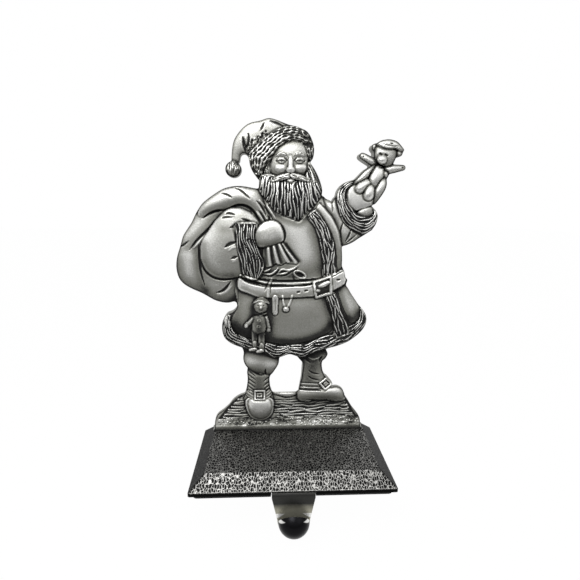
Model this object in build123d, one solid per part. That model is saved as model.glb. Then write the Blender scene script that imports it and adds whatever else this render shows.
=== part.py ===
"""Mantel stocking holder: a cast relief figure on a bevelled base, with a strap hook below the front edge.

Millimetres. +Z is up, the front faces -Y, and the origin is the centre of the pad's lower face,
which rests on the shelf.
"""
import os

from build123d import *

# Base casting
BASE_WIDTH = 96.0
BASE_DEPTH = 66.0
LIP_HEIGHT = 1.4
BEVEL_WIDTH = 6.9
BEVEL_HEIGHT = 6.1
BASE_CORNER_RADIUS = 1.2

# Pad under the base
PAD_THICKNESS = 2.2
PAD_INSET = 2.0
PAD_CORNER_RADIUS = 2.0
PAD_CLEARANCE = 0.4

# Strap hook
STRAP_THICKNESS = 2.0
STRAP_WIDTH = 20.0
STRAP_END_WIDTH = 15.0
STRAP_TAPER_START = 3.0
STRAP_BEND_RADIUS = 0.5
FLANGE_LENGTH = 25.0
CHANNEL_CLEARANCE = 0.2
SCOOP_RADIUS = 7.2
SCOOP_WALL = 2.0
SCOOP_REACH = 1.5
SCOOP_DROP = 10.2
SCOOP_TILT = 50.0

# Screws that hold the figure
FIGURE_SCREW_DIAMETER = 4.0
FIGURE_SCREW_REACH = 9.0
FIGURE_SCREW_HEAD_DIAMETER = 7.2
FIGURE_SCREW_HEAD_HEIGHT = 2.4
FIGURE_SCREW_SPACING = 36.0
FIGURE_SCREW_SETBACK = 3.4
COUNTERBORE_DEPTH = 3.4

# Screws that hold the hook
HOOK_SCREW_DIAMETER = 3.0
HOOK_SCREW_REACH = 3.5
HOOK_SCREW_HEAD_DIAMETER = 5.6
HOOK_SCREW_HEAD_HEIGHT = 1.4
HOOK_SCREW_SPACING = 11.0

# Fits
THREAD_CLEARANCE = 0.05
SHANK_CLEARANCE = 0.25
HEAD_CLEARANCE = 0.4
HOLE_RUNOUT = 1.0

# Foot of the figure
FOOT_DEPTH = 8.0
FOOT_EDGE_HEIGHT = 3.3
FOOT_LEFT = -40.5
FOOT_RIGHT = 39.0
FOOT_SHOULDER = 4.5
HILL_HEIGHT = 20.5
HILL_RELIEF = 5.0

# Relief of the figure
FIGURE_HEIGHT = 166.0
CORNER_SHARE = 0.9
EDGE_SHARE = 0.8
PLAIN_TURN = 35.0
BUCKLE_BAR = 1.7
LAID_ON_START = 3.0
APPLIED_START = 5.0
BUCKLE_START = 8.0
BUCKLE_RISE = 4.8
GROOVE_WIDTH = 1.0
GROOVE_DEPTH = 0.8

# Places that follow from the sizes above
base_bottom = PAD_THICKNESS
lip_top = base_bottom + LIP_HEIGHT
base_top = lip_top + BEVEL_HEIGHT
base_front = -BASE_DEPTH / 2
figure_back = BASE_DEPTH / 2 - BEVEL_WIDTH
strap_top = lip_top
strap_bottom = strap_top - STRAP_THICKNESS
strap_back = base_front + STRAP_THICKNESS
flange_end = base_front + FLANGE_LENGTH
figure_screw_y = figure_back - FIGURE_SCREW_SETBACK
head_seat = base_bottom + COUNTERBORE_DEPTH
hook_screw_middle = (strap_back + flange_end) / 2

# Relief drawing plane: X across, Y up from the top of the base, Z forward from the figure's flat back
RELIEF = Plane(origin=(0, figure_back, base_top), x_dir=(1, 0, 0), z_dir=(0, -1, 0))

# Cap's outline. Its highest corner is the top of the figure, so it sets the scale of the whole drawing.
CAP_OUTLINE = [
    (-28.7, 142), (-28.8, 150.5), (-27.8, 155.5), (-25, 159.5), (-20.3, 163), (-15, 164.5), (-10, 166),
    (-2, 163.7), (6.5, 160.5), (10.5, 155.5), (11.5, 149), (9, 143), (-3, 142), (-15, 142),
    (-19.5, 146.5), (-22.5, 148.6), (-25, 146.5), (-25.6, 142),
]
figure_scale = FIGURE_HEIGHT / max(height for _, height in CAP_OUTLINE)

# Domed front of a knob, from its rim to its flat: shares of the radius outward and forward
DOME_STEPS = [(1.0, 0.0), (0.82, 0.6), (0.42, 1.0), (0.0, 1.0)]


def screw_places(spacing, across):
    """Return the two points, half the spacing each side of the middle, along X or along Y."""
    if across:
        return [(-spacing / 2, 0), (spacing / 2, 0)]
    return [(0, -spacing / 2), (0, spacing / 2)]


def bar(x, y, bottom, top, radius):
    """Return an upright cylinder between two heights."""
    return Pos(x, y, bottom) * Cylinder(radius, top - bottom, align=(Align.CENTER, Align.CENTER, Align.MIN))


def figure_screw_points():
    """Return the places of the screws in the figure's foot."""
    return [(x, figure_screw_y) for x, _ in screw_places(FIGURE_SCREW_SPACING, True)]


def hook_screw_points():
    """Return the places of the screws in the strap's flange."""
    return [(0, hook_screw_middle + y) for _, y in screw_places(HOOK_SCREW_SPACING, False)]


def make_base():
    """Bevelled plate with a lip, a channel for the strap, counterbores and blind screw holes."""
    lip = Plane.XY.offset(base_bottom) * RectangleRounded(BASE_WIDTH, BASE_DEPTH, BASE_CORNER_RADIUS)
    foot = Plane.XY.offset(lip_top) * RectangleRounded(BASE_WIDTH, BASE_DEPTH, BASE_CORNER_RADIUS)
    crown = Plane.XY.offset(base_top) * RectangleRounded(
        BASE_WIDTH - 2 * BEVEL_WIDTH, BASE_DEPTH - 2 * BEVEL_WIDTH, BASE_CORNER_RADIUS
    )
    body = extrude(lip, LIP_HEIGHT) + loft([foot.face(), crown.face()], ruled=True)
    channel_width = STRAP_WIDTH + 2 * CHANNEL_CLEARANCE
    channel_length = FLANGE_LENGTH + CHANNEL_CLEARANCE
    body -= Pos(0, base_front, base_bottom) * Box(
        channel_width, channel_length, LIP_HEIGHT, align=(Align.CENTER, Align.MIN, Align.MIN)
    )
    for x, y in figure_screw_points():
        body -= bar(x, y, base_bottom, head_seat, FIGURE_SCREW_HEAD_DIAMETER / 2 + HEAD_CLEARANCE)
        body -= bar(x, y, head_seat, base_top, FIGURE_SCREW_DIAMETER / 2 + SHANK_CLEARANCE)
    for x, y in hook_screw_points():
        hole_top = strap_top + HOOK_SCREW_REACH + HOLE_RUNOUT
        body -= bar(x, y, strap_top, hole_top, HOOK_SCREW_DIAMETER / 2 + THREAD_CLEARANCE)
    return body


def make_pad():
    """Thin pad, inset from the lip and notched round the strap's flange."""
    front = strap_back + PAD_CLEARANCE
    back = BASE_DEPTH / 2 - PAD_INSET
    sheet = Pos(0, (front + back) / 2) * RectangleRounded(
        BASE_WIDTH - 2 * PAD_INSET, back - front, PAD_CORNER_RADIUS
    )
    notch_depth = flange_end + PAD_CLEARANCE - front
    sheet -= Pos(0, front) * Rectangle(
        STRAP_WIDTH + 2 * PAD_CLEARANCE, notch_depth, align=(Align.CENTER, Align.MIN)
    )
    return extrude(sheet, PAD_THICKNESS)


def strap_profile():
    """Side outline of the strap: a flat flange with a bend down to the scoop."""
    end = -SCOOP_DROP
    corners = Polyline(
        (flange_end, strap_top),
        (base_front, strap_top),
        (base_front, end),
        (strap_back, end),
        (strap_back, strap_bottom),
        (flange_end, strap_bottom),
        close=True,
    )
    face = make_face(corners)
    outer = face.vertices().sort_by_distance((base_front, strap_top, 0))[0]
    face = fillet(outer, STRAP_BEND_RADIUS + STRAP_THICKNESS)
    inner = face.vertices().sort_by_distance((strap_back, strap_bottom, 0))[0]
    return fillet(inner, STRAP_BEND_RADIUS)


def make_hook():
    """Tapered strap whose lower end is dished into a rounded scoop."""
    side = Plane.YZ * strap_profile()
    strap = extrude(side, STRAP_WIDTH / 2, both=True)
    taper_top = strap_top - STRAP_TAPER_START
    front_outline = Polyline(
        (-STRAP_WIDTH / 2, strap_top),
        (-STRAP_WIDTH / 2, taper_top),
        (-STRAP_END_WIDTH / 2, -SCOOP_DROP),
        (STRAP_END_WIDTH / 2, -SCOOP_DROP),
        (STRAP_WIDTH / 2, taper_top),
        (STRAP_WIDTH / 2, strap_top),
        close=True,
    )
    strap &= extrude(Plane.XZ * make_face(front_outline), BASE_DEPTH, both=True)

    middle = (0, base_front - SCOOP_REACH, -SCOOP_DROP)
    end_disc = Pos(0, strap_back, -SCOOP_DROP) * Rot(90, 0, 0) * Cylinder(
        STRAP_END_WIDTH / 2, STRAP_THICKNESS, align=(Align.CENTER, Align.CENTER, Align.MIN)
    )
    room = 4 * SCOOP_RADIUS
    lower_half = Box(room, 2 * BASE_DEPTH, room, align=(Align.CENTER, Align.CENTER, Align.MAX))
    front_half = Box(room, room, 2 * room, align=(Align.CENTER, Align.MAX, Align.CENTER))
    cup = Pos(*middle) * (Sphere(SCOOP_RADIUS) & Rot(-SCOOP_TILT, 0, 0) * lower_half)
    cup &= Pos(0, strap_back, 0) * front_half
    hollow = Pos(*middle) * Sphere(SCOOP_RADIUS - SCOOP_WALL) & Pos(0, base_front, 0) * front_half
    hook = strap + (end_disc & Pos(0, 0, -SCOOP_DROP) * lower_half) + cup - hollow

    countersink = HOOK_SCREW_HEAD_DIAMETER / 2 + THREAD_CLEARANCE
    for x, y in hook_screw_points():
        hook -= bar(x, y, strap_bottom, strap_top, HOOK_SCREW_DIAMETER / 2 + SHANK_CLEARANCE)
        hook -= Pos(x, y, strap_bottom) * Cone(
            countersink,
            HOOK_SCREW_DIAMETER / 2 + THREAD_CLEARANCE,
            HOOK_SCREW_HEAD_HEIGHT,
            align=(Align.CENTER, Align.CENTER, Align.MIN),
        )
    return hook


def make_figure_screws():
    """Two pan-head screws from the counterbores up into the figure's foot."""
    screws = []
    for x, y in figure_screw_points():
        head = bar(x, y, head_seat - FIGURE_SCREW_HEAD_HEIGHT, head_seat, FIGURE_SCREW_HEAD_DIAMETER / 2)
        shank = bar(x, y, head_seat, base_top + FIGURE_SCREW_REACH, FIGURE_SCREW_DIAMETER / 2)
        screws.append(head + shank)
    return Compound(children=[screw.solid() for screw in screws])


def make_hook_screws():
    """Two flush screws through the flange into the base."""
    screws = []
    for x, y in hook_screw_points():
        head = Pos(x, y, strap_bottom) * Cone(
            HOOK_SCREW_HEAD_DIAMETER / 2,
            HOOK_SCREW_DIAMETER / 2,
            HOOK_SCREW_HEAD_HEIGHT,
            align=(Align.CENTER, Align.CENTER, Align.MIN),
        )
        head_top = strap_bottom + HOOK_SCREW_HEAD_HEIGHT
        shank = bar(x, y, head_top, strap_top + HOOK_SCREW_REACH, HOOK_SCREW_DIAMETER / 2)
        screws.append(head + shank)
    return Compound(children=[screw.solid() for screw in screws])


def at_size(points):
    """Return drawn points at the figure's size."""
    return [(x * figure_scale, height * figure_scale) for x, height in points]


def rounded(points):
    """Face inside a closed run of corner points, with a tangent arc at each corner that turns sharply."""
    corners = [Vector(*point) for point in points]
    ends = []
    for before, corner, after in zip(corners[-1:] + corners[:-1], corners, corners[1:] + corners[:1]):
        back, forth = before - corner, after - corner
        sharp = forth.get_angle(-back) > PLAIN_TURN
        reach = CORNER_SHARE * min(back.length, forth.length) / 2 if sharp else 0
        ends.append((corner + back.normalized() * reach, corner + forth.normalized() * reach, -back))
    edges = []
    for (arc_start, arc_end, heading), (next_start, _, _) in zip(ends, ends[1:] + ends[:1]):
        if arc_start != arc_end:
            edges.append(TangentArc(arc_start, arc_end, tangent=heading))
        edges.append(Line(arc_end, next_start))
    return make_face(edges)


def raised(face, relief, edge, start):
    """Extrude a face from a start height above the flat back, and slope its front edge as its arcs allow."""
    block = extrude(RELIEF.offset(start) * face, relief - start)
    if edge == 0:
        return block
    radii = [arc.radius for arc in face.edges().filter_by(GeomType.CIRCLE)]
    widest = min([edge] + [EDGE_SHARE * radius for radius in radii])
    return chamfer(block.faces().sort_by(Axis.Y)[0].edges(), widest)


def grooved(form, front, lines):
    """Cut a V-shaped groove along each line into the flat front of a raised form."""
    for line in lines:
        start, end = (Vector(*point) for point in at_size(line))
        along = end - start
        side = Vector(-along.Y, along.X)
        section = Plane(
            origin=RELIEF.from_local_coords(start),
            x_dir=RELIEF.x_dir * side.X + RELIEF.y_dir * side.Y,
            z_dir=RELIEF.x_dir * along.X + RELIEF.y_dir * along.Y,
        )
        wedge = Polyline(
            (-GROOVE_WIDTH, front + GROOVE_DEPTH),
            (GROOVE_WIDTH, front + GROOVE_DEPTH),
            (0, front - GROOVE_DEPTH),
            close=True,
        )
        form -= extrude(section * make_face(wedge), along.length)
    return form


def blob(points, relief, edge=0.0, start=0.0, grooves=()):
    """Raised form with one rounded outline and grooves in its front."""
    form = raised(rounded(at_size(points)), relief * figure_scale, edge * figure_scale, start)
    return grooved(form, relief * figure_scale, grooves)


def band(one_side, other_side, relief, start=0.0, grooves=()):
    """Raised strip between two edges that run the same way, with grooves in its front."""
    return blob(one_side + other_side[::-1], relief, start=start, grooves=grooves)


def limb(first, first_radius, last, last_radius, relief, start=0.0):
    """Raised form that tapers from one round end to another."""
    ends = [(first, first_radius), (last, last_radius)]
    rounds = [Pos(*at_size([place])[0]) * Circle(radius * figure_scale) for place, radius in ends]
    return raised(make_hull((rounds[0] + rounds[1]).edges()), relief * figure_scale, 0, start)


def knob(middle, radius, relief, start=0.0):
    """Round post with a domed front."""
    place = at_size([middle])[0]
    radius *= figure_scale
    shoulder = relief * figure_scale - radius
    dome = [(radius * out, shoulder + radius * rise) for out, rise in DOME_STEPS]
    outline = make_face(Polyline((0, start), (radius, start), *dome, close=True))
    return RELIEF * Pos(*place) * Rot(90, 0, 0) * revolve(outline, Axis.Y)


def make_ground():
    """Rocky mound on the foot plate: upright front edge, then a slope back to the hill top."""
    flank = at_size(
        [(-38, 9), (-33, 13.2), (-28, 18), (-20, 20), (-8, 20.2), (5, 20.2), (20, 17.5), (31, 16.3),
         (35.2, 11), (38, 7)]
    )
    left = [(FOOT_LEFT, -FOOT_DEPTH), (FOOT_LEFT, FOOT_SHOULDER)]
    right = [(FOOT_RIGHT, FOOT_SHOULDER), (FOOT_RIGHT, -FOOT_DEPTH)]
    mound = extrude(RELIEF * rounded(left + flank + right), FOOT_DEPTH)
    section = Polyline(
        (0, 0),
        (-FOOT_DEPTH, 0),
        (-FOOT_DEPTH, FOOT_EDGE_HEIGHT),
        (-HILL_RELIEF, HILL_HEIGHT),
        (0, HILL_HEIGHT),
        close=True,
    )
    side = Plane(origin=(0, figure_back, base_top), x_dir=(0, 1, 0), z_dir=(1, 0, 0))
    return mound & extrude(side * make_face(section), FOOT_RIGHT - FOOT_LEFT, both=True)


def make_legs():
    """Two legs in breeches, with a shoe each."""
    return [
        blob(
            [(-24.5, 47), (-24.9, 41), (-24, 37), (-22.3, 33.5), (-22.5, 27), (-23, 20), (-16.5, 18),
             (-10, 20), (-10.4, 27), (-9.8, 30.5), (-7, 34), (-5.5, 38), (-6, 45), (-15, 48)],
            relief=6.8, edge=1.6,
        ),
        blob(
            [(-24, 46), (-24.5, 41), (-23.6, 37.5), (-18.5, 32.2), (-12, 31), (-7, 35.5), (-5.8, 40),
             (-8, 45.5)],
            relief=7.8, edge=1.6, start=LAID_ON_START,
        ),
        blob(
            [(-22.8, 15), (-22.2, 10.9), (-20.3, 6.9), (-16.8, 5.2), (-13, 5.5), (-10.3, 8), (-9.5, 11.5),
             (-10, 15.5), (-12, 20), (-16.5, 21.5), (-21, 20)],
            relief=9.5, edge=1.8, start=LAID_ON_START,
        ),
        blob(
            [(4.5, 44), (7.8, 37), (7.4, 32), (6.6, 27), (5.8, 21), (12, 19), (20, 22), (20, 28),
             (18.4, 33.5), (18.3, 38), (21, 44), (13, 46)],
            relief=6.6, edge=1.4,
        ),
        blob(
            [(4.8, 20.5), (5, 16.7), (8, 15), (13, 14.8), (21, 15.3), (27, 14.5), (31.2, 15.7), (31, 18.7),
             (29.4, 21.7), (26, 23.2), (21, 25.5), (15, 26.3), (8, 25.5)],
            relief=8.0, edge=1.4,
        ),
    ]


def make_coat():
    """Coat body, flared skirt, fur hem, fur strips and the smooth front."""
    return [
        blob(
            [(-20, 121), (-22, 100), (-26.5, 82), (-27.3, 70), (-30.5, 64.5), (-33, 59), (-31, 53),
             (-25, 49.5), (-14.5, 46.5), (0, 44.5), (12, 45.5), (22, 48.5), (32, 52.5), (38.5, 58.5),
             (39.8, 64), (37, 69.8), (32.5, 77), (29, 84), (28, 92), (28, 101), (26, 112), (22.5, 123),
             (17, 127), (5, 130), (-12, 128)],
            relief=8.8, edge=2.0,
        ),
        blob(
            [(-6, 117), (-8, 95), (-5, 83), (8, 81), (18, 85), (19.5, 95), (16, 107), (10, 115.5)],
            relief=9.5, edge=1.4, start=APPLIED_START,
        ),
        blob(
            [(-26.6, 75), (-28, 68), (-30.2, 62), (-26, 54.8), (-14.4, 51.1), (-2, 49.3), (10.5, 50.7),
             (18, 53.8), (23, 59.5), (20.3, 68.5), (18, 75)],
            relief=10.3, edge=1.8, start=APPLIED_START,
        ),
        band(
            [(-32.8, 64.5), (-35.5, 61.3), (-36, 57.3), (-33.5, 50.3), (-27, 46.2), (-14.5, 43), (-7, 40.6),
             (0.2, 42), (8.2, 40.5), (15, 42.3), (21.8, 45.3), (30.8, 48.1), (39.3, 54.3), (42.4, 61),
             (41, 65.5), (39.2, 67.3)],
            [(-31.4, 64), (-31.3, 60), (-30.3, 56.6), (-27, 53.2), (-14.5, 49.2), (-6, 47.5), (2.5, 47.3),
             (11, 48.7), (22.3, 52.5), (29, 55), (35.4, 58.3), (38.4, 62), (38.2, 66.8)],
            relief=10.4,
            grooves=[
                [(-30, 51.8), (-20, 48)], [(-11, 45.2), (-2, 44.6)], [(5, 44.6), (19, 47.8)],
                [(22, 49), (35, 54.8)],
            ],
        ),
        band(
            [(10.4, 116.2), (14.2, 110.9), (16.1, 104.7), (17.8, 96.5), (18.5, 84)],
            [(14.2, 120.1), (19.5, 112.5), (23.3, 104.7), (24.8, 95), (24.6, 84)],
            relief=11.0, start=APPLIED_START,
            grooves=[[(14.5, 114.8), (19.6, 105)], [(20.1, 103), (21.6, 89)]],
        ),
        band(
            [(19.5, 74), (22.3, 65.7), (24, 60.6), (24.6, 52)],
            [(24.5, 76), (27.4, 69.6), (29.7, 64), (30.6, 53)],
            relief=10.8, start=APPLIED_START,
            grooves=[[(22.8, 73), (26.8, 58)]],
        ),
    ]


def make_belt():
    """Wide belt with its square buckle."""
    leather = band(
        [(-25.2, 84.6), (-20.2, 82), (-12.8, 80), (-6, 79.8), (11, 80.3), (20, 84.4), (24.6, 86.1),
         (29.4, 88.6)],
        [(-25.6, 78.2), (-21.3, 75.9), (-15.6, 73.6), (-9.4, 73.1), (8.2, 73.7), (13.8, 74.2), (25.2, 77.9),
         (30.8, 81)],
        relief=11.5,
    )
    corners = at_size([(13, 83), (22.9, 84.9), (23.5, 75.3), (15, 73)])
    plate = make_face(Polyline(*corners, close=True))
    frame = extrude(RELIEF.offset(BUCKLE_START) * (plate - offset(plate, -BUCKLE_BAR)), BUCKLE_RISE)
    return [leather, frame]


def make_sack():
    """Sack on the back, its roll over the shoulder, and the pleats that hang from the fist."""
    return [
        blob(
            [(-14, 130.2), (-18.5, 131), (-23, 131.8), (-29, 131.8), (-35, 130), (-41, 126), (-46.8, 120.6),
             (-50.4, 113.5), (-55.2, 106.5), (-58.5, 96.5), (-59.2, 90), (-57.8, 84), (-52, 79), (-43, 74.4),
             (-35.4, 71.3), (-29, 71.6), (-20, 78), (-14, 95), (-10, 115)],
            relief=6.6, edge=2.6,
        ),
        blob(
            [(-14.3, 129.4), (-23.8, 131.2), (-29, 131), (-34.6, 129.4), (-40, 125.5), (-42.6, 121),
             (-37.6, 119.4), (-32, 120.3), (-25.2, 122.2), (-20, 120.2), (-15.5, 113), (-11, 115), (-12, 122)],
            relief=8.8, edge=1.4, start=LAID_ON_START,
        ),
        blob(
            [(-15, 101), (-13.5, 96), (-13.8, 90), (-8, 88.6), (-1, 89.5), (4.5, 91.8), (1.5, 96),
             (-3.5, 102), (-9, 104)],
            relief=10.5, start=APPLIED_START,
            grooves=[[(-11.2, 101), (-10.6, 90.4)], [(-8.8, 101), (-6, 90.8)], [(-6.4, 101), (-1.6, 91.8)]],
        ),
    ]


def make_near_arm():
    """Arm across the body: sleeve, fur cuff and mitten."""
    return [
        blob(
            [(-17.4, 114.5), (-21.8, 119.2), (-28, 121), (-34, 119), (-40, 112), (-45, 105), (-46.4, 98),
             (-45, 90), (-41, 85.5), (-35.4, 83.8), (-28, 84.8), (-22, 88), (-18, 100)],
            relief=10.5, edge=2.4, start=LAID_ON_START,
        ),
        band(
            [(-28, 112), (-27.9, 105), (-26.5, 97), (-25.3, 89), (-22.3, 84)],
            [(-17.3, 112), (-17.5, 105.5), (-14.7, 97.3), (-13, 91.5), (-15.2, 84.5)],
            relief=11.3, start=APPLIED_START,
            grooves=[[(-25.4, 110), (-21.8, 87)], [(-22.8, 110), (-19, 87)], [(-20.2, 110), (-16.4, 88)]],
        ),
        blob(
            [(-17.4, 106), (-16.2, 110.5), (-12.5, 113.7), (-7.7, 114.4), (-4, 112), (-2.4, 107),
             (-3.2, 103.7), (-9.4, 101.5), (-15.5, 100.6), (-17.3, 103)],
            relief=11.9, edge=1.2, start=APPLIED_START,
        ),
    ]


def make_raised_arm():
    """Raised arm: sleeve, curled fur cuff and open mitten."""
    return [
        blob(
            [(16, 126), (22.6, 123.8), (25.5, 131), (30, 134.3), (36, 133), (43.5, 121), (46, 116.5),
             (44.8, 112.5), (39.5, 107), (33.4, 103), (27.5, 101), (22, 108)],
            relief=7.4, edge=1.6,
        ),
        band(
            [(34.6, 135.8), (30, 134.9), (26.3, 131.8), (24.2, 126.5), (24.8, 120.5), (28, 115), (34, 110.8),
             (40.5, 109.4), (45.5, 112), (46.9, 117), (44.6, 121.6)],
            [(33, 133.3), (31, 130.3), (30, 126.3), (31, 122.3), (34, 119.8), (38, 118.3), (42, 118.3),
             (43.3, 119.6)],
            relief=9.2,
            grooves=[[(27.4, 130), (27.6, 121.4)], [(29, 119), (35, 114.6)], [(37.4, 113.7), (43.6, 115.2)]],
        ),
        blob(
            [(29.5, 126.3), (32.5, 121), (38, 118.8), (44.4, 122), (48.5, 126.5), (51.2, 132.5), (51, 138),
             (47, 142), (40.1, 140), (34.4, 135.6), (31, 131.5)],
            relief=8.3, edge=1.2,
        ),
    ]


def make_bear():
    """Small toy bear held up in the mitten."""
    return [
        blob(
            [(44, 145), (41, 141), (37, 137), (35.2, 134), (37, 130.5), (41, 128.5), (45.5, 132),
             (49.5, 136), (52.5, 142), (50, 146), (47, 147)],
            relief=9.3, edge=0.9,
        ),
        blob(
            [(44, 148.8), (45.6, 152), (49.5, 153.4), (53.6, 152), (55.2, 148.8), (53.4, 145.4), (49.5, 144),
             (45.6, 145.4)],
            relief=9.7, edge=0.9,
        ),
        blob(
            [(44.3, 152), (46.5, 154.6), (50.5, 155.9), (55, 154.8), (58, 151.5), (57, 149), (52, 150.5),
             (47, 151)],
            relief=10.2,
        ),
        limb((43.5, 143.8), 2.2, (37.9, 147.8), 1.7, relief=8.8),
        limb((51, 141.5), 2.2, (60, 141.7), 1.3, relief=8.9),
        knob((48, 145.8), 2.5, relief=11.0, start=APPLIED_START),
        knob((44.4, 152.3), 2.1, relief=9.4),
        knob((58, 149.9), 2.1, relief=9.5),
        knob((37.3, 131.3), 2.8, relief=10.4, start=APPLIED_START),
        knob((41.7, 127.7), 2.8, relief=10.6, start=APPLIED_START),
    ]


def make_doll():
    """Plain rag doll that hangs from the belt."""
    return [
        blob(
            [(-20, 56), (-18.6, 62.5), (-15.5, 66), (-12.6, 62.5), (-12.8, 56), (-16, 54)],
            relief=11.7, start=APPLIED_START,
        ),
        knob((-15, 69.3), 3.4, relief=13.0, start=APPLIED_START),
        blob(
            [(-18.6, 70.6), (-15, 69.8), (-11.4, 70.6), (-12.8, 73.4), (-15, 74.9), (-17.2, 73.4)],
            relief=12.4, start=APPLIED_START,
        ),
        limb((-18.6, 62), 1.4, (-23.2, 58.4), 1.2, relief=11.2, start=APPLIED_START),
        limb((-13, 62), 1.4, (-11, 55.6), 1.2, relief=11.3, start=APPLIED_START),
        limb((-18, 56), 1.6, (-18.6, 44.4), 1.4, relief=11.9, start=APPLIED_START),
        limb((-14.8, 56), 1.6, (-14.6, 44.6), 1.4, relief=12.1, start=APPLIED_START),
    ]


def make_head():
    """Head with a drooping cap, its pompom and fur brim, and a full beard."""
    return [
        blob(CAP_OUTLINE, relief=6.4, edge=1.1),
        knob((-28.6, 140.8), 4.1, relief=7.4),
        blob(
            [(-9.5, 145), (-6, 153), (1, 156.5), (8, 153), (10.5, 145), (7, 137), (0.5, 134), (-6, 137)],
            relief=8.0, edge=1.6, start=LAID_ON_START,
        ),
        band(
            [(-15, 135), (-18.5, 140.5), (-20.3, 146), (-19.8, 151.3), (-17.4, 154), (-11.3, 157.6),
             (-4.5, 161.2), (2, 162.2), (8.4, 160.6), (12.2, 156), (13.2, 149.5), (11.2, 143.5)],
            [(-12.6, 140), (-8.5, 146.5), (-4.5, 151.3), (-0.5, 154.2), (4, 154.7), (7.5, 152.5), (9.2, 149),
             (9.4, 144.5)],
            relief=9.0,
            grooves=[
                [(-15.6, 141.5), (-14.6, 148)], [(-13.4, 150), (-5, 156.4)], [(-3, 157.6), (4, 158.4)],
                [(7, 156.8), (11, 150)],
            ],
        ),
        blob(
            [(-15.2, 136), (-14.8, 130), (-11, 123.8), (-7, 118.8), (-1, 116.5), (5.5, 114.5), (10, 119.5),
             (15, 124.5), (17.2, 129.5), (17, 133), (15.5, 137), (12, 142), (5, 140.5), (-4, 140.5),
             (-12, 141)],
            relief=9.8, edge=1.2,
            grooves=[
                [(-11.4, 137), (-11.6, 127)], [(-8, 137), (-7.6, 122)], [(-4.6, 136), (-3.8, 119.4)],
                [(-1, 136), (0, 118)], [(2.6, 136), (4, 117)], [(6, 136), (8, 120)],
                [(9.6, 137), (11.4, 124)], [(12.8, 137), (14.6, 128)],
            ],
        ),
        limb((0.5, 142), 1.8, (-7.5, 139.2), 1.0, relief=10.4, start=APPLIED_START),
        limb((0.5, 142), 1.8, (8.5, 139.2), 1.0, relief=10.5, start=APPLIED_START),
        knob((0.5, 145.2), 2.0, relief=10.6, start=APPLIED_START),
    ]


def joined(forms):
    """Fuse forms one after another."""
    whole = forms[0]
    for form in forms[1:]:
        whole = whole.fuse(form)
    return whole


def make_figure():
    """One casting: every raised form grows from the same flat back, with screw holes in the foot."""
    groups = [
        make_coat() + make_belt(),
        make_doll(),
        make_sack(),
        make_near_arm(),
        make_raised_arm(),
        make_bear(),
        make_head(),
        [make_ground()] + make_legs(),
    ]
    casting = joined([joined(group) for group in groups])
    for x, y in figure_screw_points():
        hole_top = base_top + FIGURE_SCREW_REACH + HOLE_RUNOUT
        casting -= bar(x, y, base_top, hole_top, FIGURE_SCREW_DIAMETER / 2 + THREAD_CLEARANCE)
    return casting


def main():
    """Build every piece and write one file for each."""
    os.makedirs("parts", exist_ok=True)
    pieces = {
        "figure": make_figure(),
        "base": make_base(),
        "hook": make_hook(),
        "pad": make_pad(),
        "figure_screws": make_figure_screws(),
        "hook_screws": make_hook_screws(),
    }
    for name, piece in pieces.items():
        export_step(piece, f"parts/{name}.step")


if __name__ == "__main__":
    main()
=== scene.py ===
"""Visual model of a mantel stocking holder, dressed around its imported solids.

Blender works in metres. The figure's relief is drawn in millimetres: x across and z up from the shelf,
on an upright plane in front of the figure's flat back. What is drawn is moved to its depth along the
lines of sight from the eye, which is also where the camera stands.
"""

import logging
import math
from dataclasses import dataclass, field
from enum import Enum
from typing import Any, Union

import bmesh
import bpy
import numpy as np
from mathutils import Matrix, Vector


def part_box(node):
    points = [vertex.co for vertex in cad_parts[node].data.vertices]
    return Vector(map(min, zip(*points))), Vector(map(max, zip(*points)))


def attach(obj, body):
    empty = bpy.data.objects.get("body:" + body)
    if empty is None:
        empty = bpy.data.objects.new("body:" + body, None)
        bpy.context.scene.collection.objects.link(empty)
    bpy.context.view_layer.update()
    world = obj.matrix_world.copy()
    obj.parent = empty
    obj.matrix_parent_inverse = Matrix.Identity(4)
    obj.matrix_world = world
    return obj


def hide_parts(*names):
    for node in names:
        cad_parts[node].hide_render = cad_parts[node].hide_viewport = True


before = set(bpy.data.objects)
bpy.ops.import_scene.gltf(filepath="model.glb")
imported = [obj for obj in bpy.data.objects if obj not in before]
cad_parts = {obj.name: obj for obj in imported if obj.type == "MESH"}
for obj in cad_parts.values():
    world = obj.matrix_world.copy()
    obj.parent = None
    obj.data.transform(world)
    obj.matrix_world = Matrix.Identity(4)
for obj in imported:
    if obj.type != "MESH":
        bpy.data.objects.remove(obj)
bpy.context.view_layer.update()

Point = tuple[float, float]
Points = list[Point]
Span = tuple[float, float]
Triple = tuple[float, float, float]
Colour = Triple
Window = tuple[slice, slice]

MM = 0.001
EYE: Triple = (-10.58, -238.32, 130.03)
LOG = logging.getLogger("stocking_holder")


class Flow(Enum):
    """Way in which strokes run over a strip."""

    ALONG = "along the strip's two edges"
    ACROSS = "from one edge to the other"


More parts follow.
